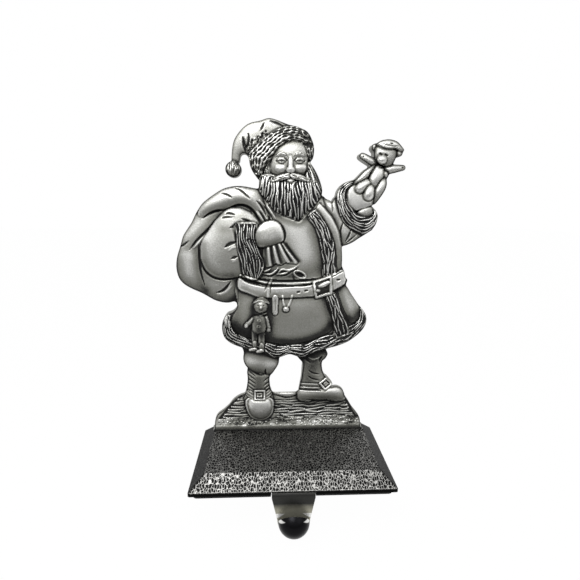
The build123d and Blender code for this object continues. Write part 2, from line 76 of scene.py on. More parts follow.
class Socket:
    """A shader socket with Python arithmetic: each expression on values adds its Math nodes."""

    def __init__(self, tree: "NodeTree", socket: bpy.types.NodeSocket) -> None:
        """Keep the socket and the tree that it belongs to."""
        self.tree = tree
        self.socket = socket

    def maths(self, operation: str, *values: "Operand") -> "Socket":
        """Return the result of one Math node on its operands."""
        return self.tree.node("ShaderNodeMath", {"operation": operation}, dict(enumerate(values)))

    def __add__(self, other: "Operand") -> "Socket":
        """Return the sum."""
        return self.maths("ADD", self, other)

    def __sub__(self, other: "Operand") -> "Socket":
        """Return the difference."""
        return self.maths("SUBTRACT", self, other)

    def __rsub__(self, other: "Operand") -> "Socket":
        """Return the difference from a number."""
        return self.maths("SUBTRACT", other, self)

    def __mul__(self, other: "Operand") -> "Socket":
        """Return the product."""
        return self.maths("MULTIPLY", self, other)

    __radd__ = __add__
    __rmul__ = __mul__

    def step(self, low: float, high: float) -> "Socket":
        """Return a smooth step from 0 at one value to 1 at another."""
        settings = {"interpolation_type": "SMOOTHSTEP"}
        return self.tree.node("ShaderNodeMapRange", settings, {"Value": self, 1: low, 2: high})

    def ramp(self, stops: list[tuple[float, Colour]]) -> "Socket":
        """Return a colour read from a ramp with stops at places on it."""
        return self.tree.node("ShaderNodeValToRGB", {"stops": stops}, {"Fac": self})

    def blend(self, first: "Socket", last: Colour) -> "Socket":
        """Return a colour that this value takes from one colour to another."""
        inputs = {0: self, 6: first, 7: (*last, 1.0)}
        return self.tree.node("ShaderNodeMix", {"data_type": "RGBA"}, inputs, 2)


Operand = Union[Socket, float]


class NodeTree:
    """Shader nodes of one finish, added by one method."""

    def __init__(self, tree: bpy.types.NodeTree) -> None:
        """Start from an empty tree."""
        self.tree = tree
        tree.nodes.clear()

    def node(
        self, kind: str, settings: dict[str, Any], inputs: dict[Any, Any], output: Any = 0
    ) -> Union[Socket, None]:
        """Add a node.

        Args:
            kind: Blender's type of the node.
            settings: Properties that are set first; stops fills a colour ramp.
            inputs: Values or links of its sockets, by name or place.
            output: Name or place of the socket that is returned.

        Returns:
            The chosen output, or None where the node ends the tree.
        """
        node = self.tree.nodes.new(kind)
        for key, value in settings.items():
            if key == "stops":
                self.fill_ramp(node.color_ramp, value)
            else:
                setattr(node, key, value)
        for key, value in inputs.items():
            if isinstance(value, Socket):
                self.tree.links.new(value.socket, node.inputs[key])
            else:
                node.inputs[key].default_value = value
        return Socket(self, node.outputs[output]) if len(node.outputs) else None

    @staticmethod
    def fill_ramp(ramp: bpy.types.ColorRamp, stops: list[tuple[float, Colour]]) -> None:
        """Set a colour ramp's stops.

        Args:
            ramp: The ramp.
            stops: Places on the ramp, each with its colour.
        """
        while len(ramp.elements) < len(stops):
            ramp.elements.new(0.5)
        for element, (place, colour) in zip(ramp.elements, stops):
            element.position = place
            element.color = (*colour, 1.0)

    def place(self) -> Socket:
        """Return the surface's Object coordinates."""
        return self.node("ShaderNodeTexCoord", {}, {}, "Object")

    def part(self, vector: Socket, axis: str) -> Socket:
        """Return one part of a vector."""
        return self.node("ShaderNodeSeparateXYZ", {}, {"Vector": vector}, axis)

    def facing(self, axis: str) -> Socket:
        """Return one part of the surface's own normal."""
        return self.part(self.node("ShaderNodeNewGeometry", {}, {}, "Normal"), axis)

    def noise(self, size: float, detail: float = 3.0, roughness: float = 0.5) -> Socket:
        """Return noise whose features are about a size, in metres."""
        inputs = {"Vector": self.place(), "Scale": 1 / size, "Detail": detail, "Roughness": roughness}
        return self.node("ShaderNodeTexNoise", {}, inputs)

    def bump(self, height: Socket, depth: float, strength: float) -> Socket:
        """Return a normal that is bumped by a height."""
        inputs = {"Height": height, "Distance": depth, "Strength": strength}
        return self.node("ShaderNodeBump", {}, inputs)

    def rays(self) -> list[Socket]:
        """Return whether a ray is the camera's, a glossy one or one through glass."""
        kinds = ("Is Camera Ray", "Is Glossy Ray", "Is Transmission Ray")
        return [self.node("ShaderNodeLightPath", {}, {}, kind) for kind in kinds]

    def close(self, inputs: dict[str, Any]) -> None:
        """End the tree in a Principled surface."""
        surface = self.node("ShaderNodeBsdfPrincipled", {}, inputs)
        self.node("ShaderNodeOutputMaterial", {}, {"Surface": surface})


def new_material(name: str) -> tuple[bpy.types.Material, NodeTree]:
    """Make a material with an empty tree.

    Args:
        name: The finish's name.

    Returns:
        The material and its tree.
    """
    material = bpy.data.materials.new(name)
    material.use_nodes = True
    return material, NodeTree(material.node_tree)


@dataclass(frozen=True)
class AntiquePewter:
    """Cast pewter, blackened in its hollows and rubbed bright on what stands out, with painted shade and
    painted highlights in its colour.
    """

    bright: Colour = (0.76, 0.76, 0.735)
    rubbed_and_highlight: Colour = (0.36, 0.36, 0.336)
    dull: Colour = (0.19, 0.19, 0.168)
    dark: Colour = (0.035, 0.035, 0.032)
    black: Colour = (0.004, 0.004, 0.004)
    places: tuple[float, ...] = (0.0, 0.22, 0.5, 0.75, 1.0)
    grain: float = 0.65 * MM
    grain_depth: float = 0.07 * MM
    speckle: float = 0.42
    strand_edge: Span = (0.66, 0.8)

    def material(self) -> bpy.types.Material:
        """Make the finish, led by the casting's attributes of blackening, ground and strand; the blackening
        also carries painted shade and painted highlights.

        Returns:
            The material.
        """
        material, tree = new_material("antique_pewter")
        patina_and_painted_light, ground, strand = (tree.node("ShaderNodeAttribute", {"attribute_name": name}, {}, "Fac")
                                  for name in ("patina_and_painted_light", "ground", "strand"))
        patina_and_painted_light = patina_and_painted_light + ground * (1.0 - strand.step(*self.strand_edge)) * (1.0 - patina_and_painted_light)
        grain = tree.noise(self.grain, roughness=0.7) - 0.5
        colours = (self.bright, self.rubbed_and_highlight, self.dull, self.dark, self.black)
        tree.close({
            "Base Color": (patina_and_painted_light + grain * self.speckle).ramp(list(zip(self.places, colours))),
            "Metallic": 0.8 - patina_and_painted_light * 0.3,
            "Roughness": 0.42 + patina_and_painted_light * 0.25,
            "Normal": tree.bump(grain, self.grain_depth, 0.5),
        })
        return material


@dataclass(frozen=True)
class DarkCasting:
    """Blackened iron with a pebble grain whose ridges are worn bright, pit-black on the lip under the slopes;
    the front slope is painted lighter than the sides as painted light, with a painted highlight along its
    lower edge.
    """

    pit: Colour = (0.006, 0.006, 0.006)
    plain: Colour = (0.022, 0.022, 0.021)
    worn_and_highlight: Colour = (0.50, 0.495, 0.475)
    tint: Colour = (0.7, 0.7, 0.7)
    pebble: float = 1.35 * MM
    stretch: Triple = (1.2, 0.7, 0.8)
    depth: float = 0.25 * MM
    grain: float = 0.35 * MM
    ridge_edge: Span = (0.02, 0.19)
    fine_edge: Span = (0.02, 0.12)
    front_facing: Span = (0.3, 0.5)
    top_facing: Span = (0.93, 0.98)
    lip_height: float = 3.7 * MM
    lip_blend: float = 0.2 * MM
    highlight_width: float = 0.45 * MM
    front_tone: float = 0.72
    front_ground: float = 0.06
    edge_tone: float = 0.4
    top_tone: float = 0.64
    side_tone: float = 0.3

    def material(self) -> bpy.types.Material:
        """Make the finish.

        Returns:
            The material.
        """
        material, tree = new_material("dark_casting")
        place, lip = tree.place(), self.lip_height
        height = tree.part(place, "Z")
        front = (tree.facing("Y") * -1.0).step(*self.front_facing) * height.step(lip, lip + self.lip_blend)
        top = tree.facing("Z").step(*self.top_facing)
        raised = height.step(lip - self.lip_blend, lip)
        # This mask paints a highlight along the lower edge of the front slope.
        rubbed_and_highlight = front * (1.0 - height.step(lip + self.highlight_width * 0.6, lip + self.highlight_width))
        warp = tree.node("ShaderNodeVectorMath", {"operation": "MULTIPLY_ADD"}, {
            0: tree.node("ShaderNodeTexNoise", {}, {"Vector": place, "Scale": 1 / self.pebble}, "Color"),
            1: (self.pebble * 0.3,) * 3,
            2: tree.node("ShaderNodeVectorMath", {"operation": "MULTIPLY"}, {0: place, 1: self.stretch}),
        })
        cells = tree.node("ShaderNodeTexVoronoi", {"feature": "DISTANCE_TO_EDGE"},
                          {"Vector": warp, "Scale": 1 / self.pebble, "Randomness": 0.85}, "Distance")
        ridge, fine = (1.0 - cells.step(*edge) for edge in (self.ridge_edge, self.fine_edge))
        mask = front + top
        # The front slope's ridges and ground come out lighter than the side slopes': painted light on the
        # slope that faces the front; the ridge pattern itself is wear.
        tone = ridge * front * self.front_tone + fine * top * self.top_tone
        tone = tone + front * self.front_ground + rubbed_and_highlight * self.edge_tone
        tone = tone + (1.0 - mask) * raised * fine * self.side_tone
        tree.close({
            "Base Color": tone.ramp([(0.0, self.pit), (0.22, self.plain), (1.0, self.worn_and_highlight)]),
            "Metallic": 1.0,
            "Specular Tint": (*self.tint, 1.0),
            "Roughness": 0.5 - ridge * front * 0.04,
            "Normal": tree.bump(ridge * mask + tree.noise(self.grain) * 0.1, self.depth, 0.8),
        })
        return material


@dataclass(frozen=True)
class DarkStrap:
    """Smooth blackened strap steel, painted lighter and browner towards its dished tip as a painted
    reflection, with painted glints at the corners of the dish's rim.
    """

    upper: Colour = (0.026, 0.026, 0.024)
    lower: Colour = (0.32, 0.31, 0.25)
    tip: Colour = (0.010, 0.010, 0.011)
    rubbed_and_highlight: Colour = (0.8, 0.8, 0.78)
    bend_drop: float = -2.0 * MM
    dish_drop: float = 6.5 * MM
    dish_front: Span = (33.2 * MM, 33.7 * MM)
    glint_top: float = 6.9 * MM
    glint_low: float = 9.3 * MM
    glint_inner: float = 3.6 * MM
    glint_slant: float = 1.4
    glint_fade: float = 0.6 * MM
    cloud: float = 6.0 * MM
    grain: float = 0.4 * MM
    grain_depth: float = 0.03 * MM

    def material(self) -> bpy.types.Material:
        """Make the finish.

        Returns:
            The material.
        """
        material, tree = new_material("dark_strap")
        across, depth, height = (tree.part(tree.place(), axis) for axis in "XYZ")
        drop = height * -1.0
        dish = (depth * -1.0).step(*self.dish_front)
        cloud = tree.noise(self.cloud) - 0.5
        # From the bend down to the dish the strap is painted lighter and browner: a painted reflection band;
        # the cloud noise varies it at random.
        strap = drop.step(self.bend_drop, self.dish_drop) + cloud * 0.35
        strap = strap.ramp([(0.0, self.upper), (0.5, self.upper), (1.0, self.lower)])
        # These lines mark two triangles at the outer corners of the dish's rim, painted near-white as glints:
        # painted highlights.
        rim = drop.step(self.glint_top, self.glint_top + self.glint_fade / 2)
        rim = rim * (1.0 - drop.step(self.glint_low - self.glint_fade, self.glint_low))
        corner = across.maths("ABSOLUTE", across) + (height + self.glint_top) * self.glint_slant
        rim = rim * corner.step(self.glint_inner, self.glint_inner + self.glint_fade)
        tree.close({
            "Base Color": rim.blend(dish.blend(strap, self.tip), self.rubbed_and_highlight),
            "Metallic": 0.7 + dish * 0.3,
            "Roughness": 0.38 + cloud * 0.2 - dish * 0.06,
            "Normal": tree.bump(tree.noise(self.grain, 2.0), self.grain_depth, 0.4),
        })
        return material


@dataclass(frozen=True)
class BlackPad:
    """Matt black foam rubber."""

    dark: Colour = (0.010, 0.010, 0.010)
    light: Colour = (0.030, 0.030, 0.030)
    cell: float = 0.5 * MM
    depth: float = 0.1 * MM

    def material(self) -> bpy.types.Material:
        """Make the finish.

        Returns:
            The material.
        """
        material, tree = new_material("black_pad")
        cells = tree.noise(self.cell)
        tree.close({
            "Base Color": cells.ramp([(0.3, self.dark), (0.7, self.light)]),
            "Roughness": 0.85,
            "Normal": tree.bump(cells, self.depth, 0.6),
        })
        return material


@dataclass(frozen=True)
class ScrewSteel:
    """Plain turned steel."""

    dark: Colour = (0.30, 0.30, 0.30)
    light: Colour = (0.58, 0.58, 0.57)
    cloud: float = 0.8 * MM

    def material(self) -> bpy.types.Material:
        """Make the finish.

        Returns:
            The material.
        """
        material, tree = new_material("screw_steel")
        cloud = tree.noise(self.cloud)
        tree.close({
            "Base Color": cloud.ramp([(0.3, self.dark), (0.7, self.light)]),
            "Metallic": 1.0,
            "Roughness": 0.28 + cloud * 0.2,
        })
        return material


def flowing(points: Points, closed: bool = True, steps: int = 6) -> np.ndarray:
    """Run a smooth curve through given points.

    Args:
        points: The points, in order.
        closed: Whether the curve comes back to its start.
        steps: Spans between two points.

    Returns:
        Points along the curve, one row each.
    """
    knots = np.array(points, dtype=float)
    if closed:
        before, start, end, after = (np.roll(knots, shift, axis=0) for shift in (1, 0, -1, -2))
    else:
        ends = np.vstack([2 * knots[0] - knots[1], knots, 2 * knots[-1] - knots[-2]])
        before, start, end, after = ends[:-3], ends[1:-2], ends[2:-1], ends[3:]
    share = (np.arange(steps) / steps)[None, :, None]
    before, start, end, after = (knot[:, None, :] for knot in (before, start, end, after))
    curve = 0.5 * (
        2 * start
        + (end - before) * share
        + (2 * before - 5 * start + 4 * end - after) * share ** 2
        + (3 * start - before - 3 * end + after) * share ** 3
    )
    curve = curve.reshape(-1, 2)
    return curve if closed else np.vstack([curve, knots[-1]])


def evenly(curve: np.ndarray, count: int) -> np.ndarray:
    """Space points evenly along an open curve.

    Args:
        curve: The curve's points.
        count: How many points to set.

    Returns:
        The new points, one row each.
    """
    lengths = np.hypot(*np.diff(curve, axis=0).T)
    run = np.concatenate([[0.0], np.cumsum(lengths)])
    places = np.linspace(0.0, run[-1], count)
    return np.stack([np.interp(places, run, curve[:, axis]) for axis in (0, 1)], axis=1)


def oval(middle: Point, across: float, up: float, turn: float = 0.0) -> Points:
    """Set points round an oval.

    Args:
        middle: Its middle.
        across: Half its width.
        up: Half its height.
        turn: Turn of its width, in degrees.

    Returns:
        Eight points.
    """
    cos, sin = math.cos(math.radians(turn)), math.sin(math.radians(turn))
    points = []
    for step in range(8):
        x, z = across * math.cos(step * math.pi / 4), up * math.sin(step * math.pi / 4)
        points.append((middle[0] + x * cos - z * sin, middle[1] + x * sin + z * cos))
    return points


def limb(first: Point, first_radius: float, last: Point, last_radius: float) -> Points:
    """Set points round a form that tapers from one round end to another.

    Args:
        first: Middle of the first end.
        first_radius: Its radius.
        last: Middle of the last end.
        last_radius: Its radius.

    Returns:
        Five points round each end.
    """
    ahead = (Vector(last) - Vector(first)).normalized()
    side = Vector((-ahead.y, ahead.x))
    outline = []
    for middle, radius, way in ((first, first_radius, -1), (last, last_radius, 1)):
        for angle in (-90, -40, 0, 40, 90):
            turn = math.radians(-way * angle)
            out = ahead * (way * math.cos(turn) * radius) + side * (math.sin(turn) * radius)
            outline.append(tuple(Vector(middle) + out))
    return outline


class ReliefDrawing:
    """A relief drawn form by form on a grid, in millimetres: its heights, extent, blackened places and
    painted shade and highlights.
    """

    margin: float = 2.5
    crevice_width: float = 0.55
    shade_width: float = 0.6
    strip_points: int = 160
    fur_border: float = 0.3
    strand_spread: float = 1.6
    plain_patina: float = 0.22
    hollow_spreads: Triple = (0.6, 2.0, 6.0)
    hollow_weights: Triple = (0.7, 0.15, 0.08)
    slope_shade_spread: float = 1.6
    slope_shade_weight: float = 0.25
    haze_blur: float = 1.6
    haze_weight: float = 1.1
    rim_weight: float = 0.32
    strand_polish: float = 0.14
    blackest: float = 0.98

    def __init__(self, left: float, right: float, bottom: float, top: float, pitch: float) -> None:
        """Start an empty sheet.

        Args:
            left, right, bottom, top: The sheet's edges.
            pitch: Distance between grid points.
        """
        self.pitch = pitch
        self.x = left + pitch * np.arange(int((right - left) / pitch) + 1)
        self.z = bottom + pitch * np.arange(int((top - bottom) / pitch) + 1)
        shape = (len(self.z), len(self.x))
        self.height, self.ink, self.haze, self.tone, self.ground, self.strand = np.zeros((6, *shape))
        self.cover = np.full(shape, -9.0)
        self.across, self.up = (np.fft.fftfreq(2 * count, pitch) for count in (shape[1], shape[0]))

    def window(self, curve: np.ndarray, margin: float) -> Window:
        """Find the part of the grid round a curve.

        Args:
            curve: The curve's points.
            margin: How far the part goes past them.

        Returns:
            Its rows and columns.
        """
        slices = []
        for axis, places in ((1, self.z), (0, self.x)):
            low = int((curve[:, axis].min() - margin - places[0]) / self.pitch)
            high = int((curve[:, axis].max() + margin - places[0]) / self.pitch) + 2
            slices.append(slice(max(low, 0), max(min(high, len(places)), 1)))
        return slices[0], slices[1]

    def reach(self, curve: np.ndarray, window: Window, closed: bool) -> tuple[np.ndarray, ...]:
        """Measure from the grid points of a window to a curve.

        Args:
            curve: The curve's points.
            window: The part of the grid.
            closed: Whether the curve comes back to its start.

        Returns:
            The distance, the share of the curve's length at its nearest point, and whether a point is inside.
        """
        z, x = np.meshgrid(self.z[window[0]], self.x[window[1]], indexing="ij")
        starts = curve if closed else curve[:-1]
        ends = np.roll(curve, -1, axis=0) if closed else curve[1:]
        lengths = np.maximum(np.hypot(*(ends - starts).T), 1e-9)
        run = np.concatenate([[0.0], np.cumsum(lengths)])
        nearest = np.full(x.shape, 1e9)
        share = np.zeros(x.shape)
        inside = np.zeros(x.shape, dtype=bool)
        for (x0, z0), (x1, z1), length, before in zip(starts, ends, lengths, run):
            dx, dz = x1 - x0, z1 - z0
            along = np.clip(((x - x0) * dx + (z - z0) * dz) / length ** 2, 0.0, 1.0)
            gap = (x - x0 - along * dx) ** 2 + (z - z0 - along * dz) ** 2
            closer = gap < nearest
            nearest = np.where(closer, gap, nearest)
            share = np.where(closer, (before + along * length) / run[-1], share)
            if closed and dz != 0:
                inside ^= ((z0 > z) != (z1 > z)) & (x < x0 + (z - z0) * dx / dz)
        return np.sqrt(nearest), share, inside

    def follow(self, points: Points, margin: float) -> tuple[Window, np.ndarray, np.ndarray]:
        """Measure from the grid to a stroke.

        Args:
            points: Points along the stroke.
            margin: How far from it to measure.

        Returns:
            The part of the grid round it, the distance to it, and its taper towards both ends.
        """
        curve = flowing(points, closed=False, steps=4) if len(points) > 2 else np.array(points, dtype=float)
        window = self.window(curve, margin)
        distance, share, _ = self.reach(curve, window, False)
        return window, distance, np.sin(math.pi * np.clip(share, 0.03, 0.97)) ** 0.55

    def blurred(self, values: np.ndarray, spread: float) -> np.ndarray:
        """Blur values within the drawn extent.

        Args:
            values: Numbers on the grid.
            spread: Standard deviation of the blur.

        Returns:
            The blurred numbers, which the empty sheet doesn't pull down.
        """
        mask = (self.cover > 0).astype(float)
        rows, columns = mask.shape
        across = self.across[None, : columns + 1]
        fade = np.exp(-2 * (math.pi * spread) ** 2 * (across ** 2 + self.up[:, None] ** 2))

        def spread_out(plane: np.ndarray) -> np.ndarray:
            """Blur one plane, padded to twice its size."""
            wave = np.fft.rfft2(plane, s=(2 * rows, 2 * columns))
            return np.fft.irfft2(wave * fade)[:rows, :columns]

        return spread_out(values * mask) / np.maximum(spread_out(mask), 1e-3)

    @staticmethod
    def inflated(inside: np.ndarray) -> np.ndarray:
        """Puff up a flat shape like a pressed cushion.

        Args:
            inside: The shape on a window of the grid.

        Returns:
            A smooth swelling from 0 at its edge to 1 at its fullest.
        """
        mask = np.pad(inside, 1).astype(float)
        swell = np.zeros(mask.shape)
        left = mask.copy()
        step = left.copy()
        size = float((left * left).sum())
        for _ in range(60 + 3 * max(mask.shape)):
            pull = 4 * step
            pull[1:] -= step[:-1]
            pull[:-1] -= step[1:]
            pull[:, 1:] -= step[:, :-1]
            pull[:, :-1] -= step[:, 1:]
            pull *= mask
            share = size / max(float((step * pull).sum()), 1e-12)
            swell += share * step
            left -= share * pull
            new_size = float((left * left).sum())
            if new_size < 1e-3:
                break
            step = left + step * (new_size / size)
            size = new_size
        swell = np.clip(swell[1:-1, 1:-1], 0.0, None)
        return swell / max(float(swell.max()), 1e-9)

    def lay(
        self,
        points: Points,
        rise: float,
        low: Union[float, None] = None,
        full: float = 0.5,
        settle: float = 1.5,
        edge: float = 0.0,
        contour: float = 0.7,
        straight: bool = False,
    ) -> None:
        """Lay a form over what is drawn.

        Args:
            points: Its outline.
            rise: Height of its crest: above the flat back where low is given, else above what it lies on.
            low: Height of its edge above the flat back.
            full: Power of the swelling; a small one gives a flat front with steep sides.
            settle: Blur of what it lies on.
            edge: Width of an eased edge round a flat front, in place of a swelling.
            contour: Depth of the crevice round it.
            straight: Whether the outline runs straight from point to point.
        """
        curve = np.array(points, dtype=float) if straight else flowing(points)
        window = self.window(curve, self.margin)
        distance, _, inside = self.reach(curve, window, True)
        signed = np.where(inside, distance, -distance)
        if edge > 0:
            ease = np.clip(distance / edge, 0.0, 1.0)
            shape = np.sqrt(ease * (2 - ease))
        else:
            shape = self.inflated(inside) ** full
        if low is None:
            form = self.blurred(self.height, settle)[window] + rise * shape
        else:
            form = low + (rise - low) * shape
        drawn = self.cover[window] > 0
        crevice = np.exp(-(signed / self.crevice_width) ** 2) * drawn * contour * 0.5
        self.height[window] = np.where(inside, form, self.height[window] - crevice)
        # The dark round a form is the blackening of its crevice; below makes it heavier under the form than
        # above it, which is painted shade.
        below = np.clip(np.gradient(signed, self.pitch, axis=0), -1.0, 1.0)
        shade = np.exp(-(signed / self.shade_width) ** 2) * drawn * min(1.0, contour * 1.2)
        shade *= 0.72 + 0.28 * below
        self.ink[window] = np.where(inside, 0.0, np.maximum(self.ink[window], 0.85 * shade))
        self.haze[window] = np.where(inside, 0.0, np.maximum(self.haze[window], shade))
        for sheet in (self.tone, self.ground, self.strand):
            sheet[window] = np.where(inside, 0.0, sheet[window])
        self.cover[window] = np.maximum(self.cover[window], signed)

    def paint_light_and_patina(self, points: Points, width: float, amount: float) -> None:
        """Paint shade softly along a path, or a highlight where the amount is negative; a few calls only
        darken or mottle the patina.

        Args:
            points: Points along the path.
            width: Width of the soft band.
            amount: How much darker its middle gets.
        """
        window, distance, _ = self.follow(points, 1.2 * width)
        self.tone[window] += amount * np.exp(-(distance / (0.6 * width)) ** 2)

    def carve(
        self,
        points: Points,
        width: float,
        depth: float,
        ink: float = 0.9,
        taper: bool = True,
        haze: float = 0.7,
    ) -> None:
        """Carve a stroke, or raise one where the depth is negative.

        Args:
            points: Points along it.
            width: Its width at its middle.
            depth: Its depth.
            ink: How black it is.
            taper: Whether its ends run out to a point.
            haze: How much it blackens what is round it.
        """
        window, distance, ends = self.follow(points, width)
        half = width / 2 * (ends if taper else 1.0)
        cut = np.clip(1 - (distance / half) ** 2, 0.0, 1.0)
        self.height[window] -= depth * cut
        if depth < 0:
            clear = np.clip(2.5 * cut, 0.0, 1.0)
            for sheet in (self.ink, self.haze, self.ground):
                sheet[window] *= 1 - clear
            self.tone[window] += 0.15 * depth * clear
        self.ink[window] = np.maximum(self.ink[window], ink * np.sqrt(cut))
        self.haze[window] = np.maximum(self.haze[window], haze * ink * cut)

    def comb(self, points: Points, width: float, rise: float) -> None:
        """Raise one strand of fur from its dark ground.

        Args:
            points: Points along it.
            width: Its width at its middle.
            rise: How far it stands out.
        """
        spread = self.strand_spread * width
        window, distance, ends = self.follow(points, spread)
        near = np.maximum(np.clip(1 - distance / (spread * ends), 0.0, 1.0), self.strand[window])
        self.height[window] += rise * (near - self.strand[window])
        self.strand[window] = near

    def darken(self, border: np.ndarray, depth: float, ground: float) -> None:
        """Sink and blacken a strip, for strands to stand on.

        Args:
            border: Points round the strip.
            depth: Depth of the strip's strokes.
            ground: How black it gets.
        """
        window = self.window(border, 1.0)
        distance, _, inside = self.reach(border[::4], window, True)
        signed = np.where(inside, distance, -distance)
        ease = np.clip((signed + self.fur_border) / self.fur_border, 0.0, 1.0)
        self.height[window] -= 0.6 * depth * ease
        self.haze[window] *= 1 - ease
        self.strand[window] *= 1 - inside
        self.ground[window] = np.maximum(self.ground[window], ground * ease)

    def fur(
        self,
        one_side: Points,
        other_side: Points,
        rows: int,
        length: float,
        width: float,
        depth: float,
        seed: int,
        flow: Flow = Flow.ALONG,
        sway: float = 0.5,
        ink: float = 0.95,
        ground: float = 0.0,
    ) -> None:
        """Carve rows of short strokes over a strip, or raise them as strands on a dark ground.

        Args:
            one_side: Points along one edge of the strip.
            other_side: Points along its other edge, the same way.
            rows: Rows of strokes.
            length: Length of a stroke.
            width: Width of a stroke.
            depth: Depth of a stroke.
            seed: Seed of the small irregularities.
            flow: Which way the strokes run.
            sway: How far a stroke leans over its row, in rows.
            ink: How black the strokes are.
            ground: How black the strip is between strokes that are raised; 0 where they are carved.
        """
        chance = np.random.default_rng(seed)
        count = self.strip_points
        first, second = (evenly(flowing(side, closed=False), count) for side in (one_side, other_side))
        if ground > 0:
            self.darken(np.vstack([first, second[::-1]]), depth, ground)

        def at(along: float, across: float) -> Point:
            """Find a place on the strip.

            Args:
                along: Share of the strokes' way.
                across: Share of the way over them.

            Returns:
                The place.
            """
            if flow is Flow.ACROSS:
                along, across = across, along
            place = np.clip(along, 0.0, 1.0) * (count - 1)
            whole = min(int(place), count - 2)
            part = place - whole
            a, b = (side[whole] * (1 - part) + side[whole + 1] * part for side in (first, second))
            return tuple(a + (b - a) * np.clip(across, 0.02, 0.98))

        phase = chance.uniform(0.0, 6.0)
        loose, wave_length, overlap = (1.0, 14.0, 0.82) if ground > 0 else (0.4, 2.4 * length, 1.0)
        for row in range(rows):
            lane = (row + 0.5 + chance.uniform(-0.1, 0.1)) / rows
            track = np.array([at(share, lane) for share in np.linspace(0, 1, 24)])
            total = float(np.hypot(*np.diff(track, axis=0).T).sum())
            start = -(0.5 * (row % 2) + chance.uniform(0.0, 0.3)) * length
            while start < total:
                span = length * chance.uniform(0.75, 1.25)
                lean = chance.uniform(-loose, loose)
                turn = phase + 0.55 * row + chance.uniform(-loose, loose)
                middle = np.clip((start + span / 2) / total, 0.0, 1.0)
                room = math.dist(at(middle, lane - 0.5 / rows), at(middle, lane + 0.5 / rows))
                points = []
                for part in np.linspace(0.0, 1.0, 7):
                    run = start + part * span * 0.94
                    wave = sway * math.sin(2 * math.pi * run / wave_length + turn)
                    side = lane + (lean * (part - 0.5) + wave + chance.uniform(-0.06, 0.06)) / rows
                    points.append(at(np.clip(run / total, 0.0, 1.0), side))
                if room > 0.75 or row % 2 == 0:
                    size = (width * chance.uniform(0.8, 1.2), depth * chance.uniform(0.85, 1.1))
                    if ground > 0:
                        self.comb(points, *size)
                    else:
                        self.carve(points, *size, ink, haze=0.0)
                start += span * overlap

    def patina_and_painted_light(self) -> np.ndarray:
        """Work out how black each point is, from its strokes and from how deep it lies, with painted shade on
        faces that look down and painted shade and highlights laid along paths.

        Returns:
            The blackness on the grid, from 0 to 1.
        """
        fine, middle, broad = (self.blurred(self.height, spread) - self.height
                               for spread in self.hollow_spreads)
        # The next two lines paint shade where the surface faces down and light where it faces up, as if lit
        # from above.
        slope = np.gradient(self.blurred(self.height, self.slope_shade_spread), self.pitch, axis=0)
        under = np.clip(slope, -0.8, 0.8)
        # The haze, blurred out, spreads the dark of contours and strokes: blackening round the hollows, and
        # painted shade where it is heavier under a form.
        spread_haze = self.blurred(self.haze, self.haze_blur) * np.clip(0.5 + 0.6 * middle, 0.1, 1.2)
        rim = np.exp(-(self.cover / self.crevice_width) ** 2)
        fine_weight, middle_weight, broad_weight = self.hollow_weights
        darkness = self.plain_patina + fine_weight * np.clip(fine, -0.4, 0.8) + middle_weight * middle
        darkness += broad_weight * broad
        darkness += self.slope_shade_weight * under
        # The tone sheet adds the painted shade and highlights laid along paths, and lightens raised strokes.
        darkness += self.haze_weight * spread_haze + self.tone + self.rim_weight * rim
        darkness -= self.strand_polish * self.strand * self.ground
        return np.clip(np.maximum(darkness, self.ink * self.blackest), 0.0, 1.0)


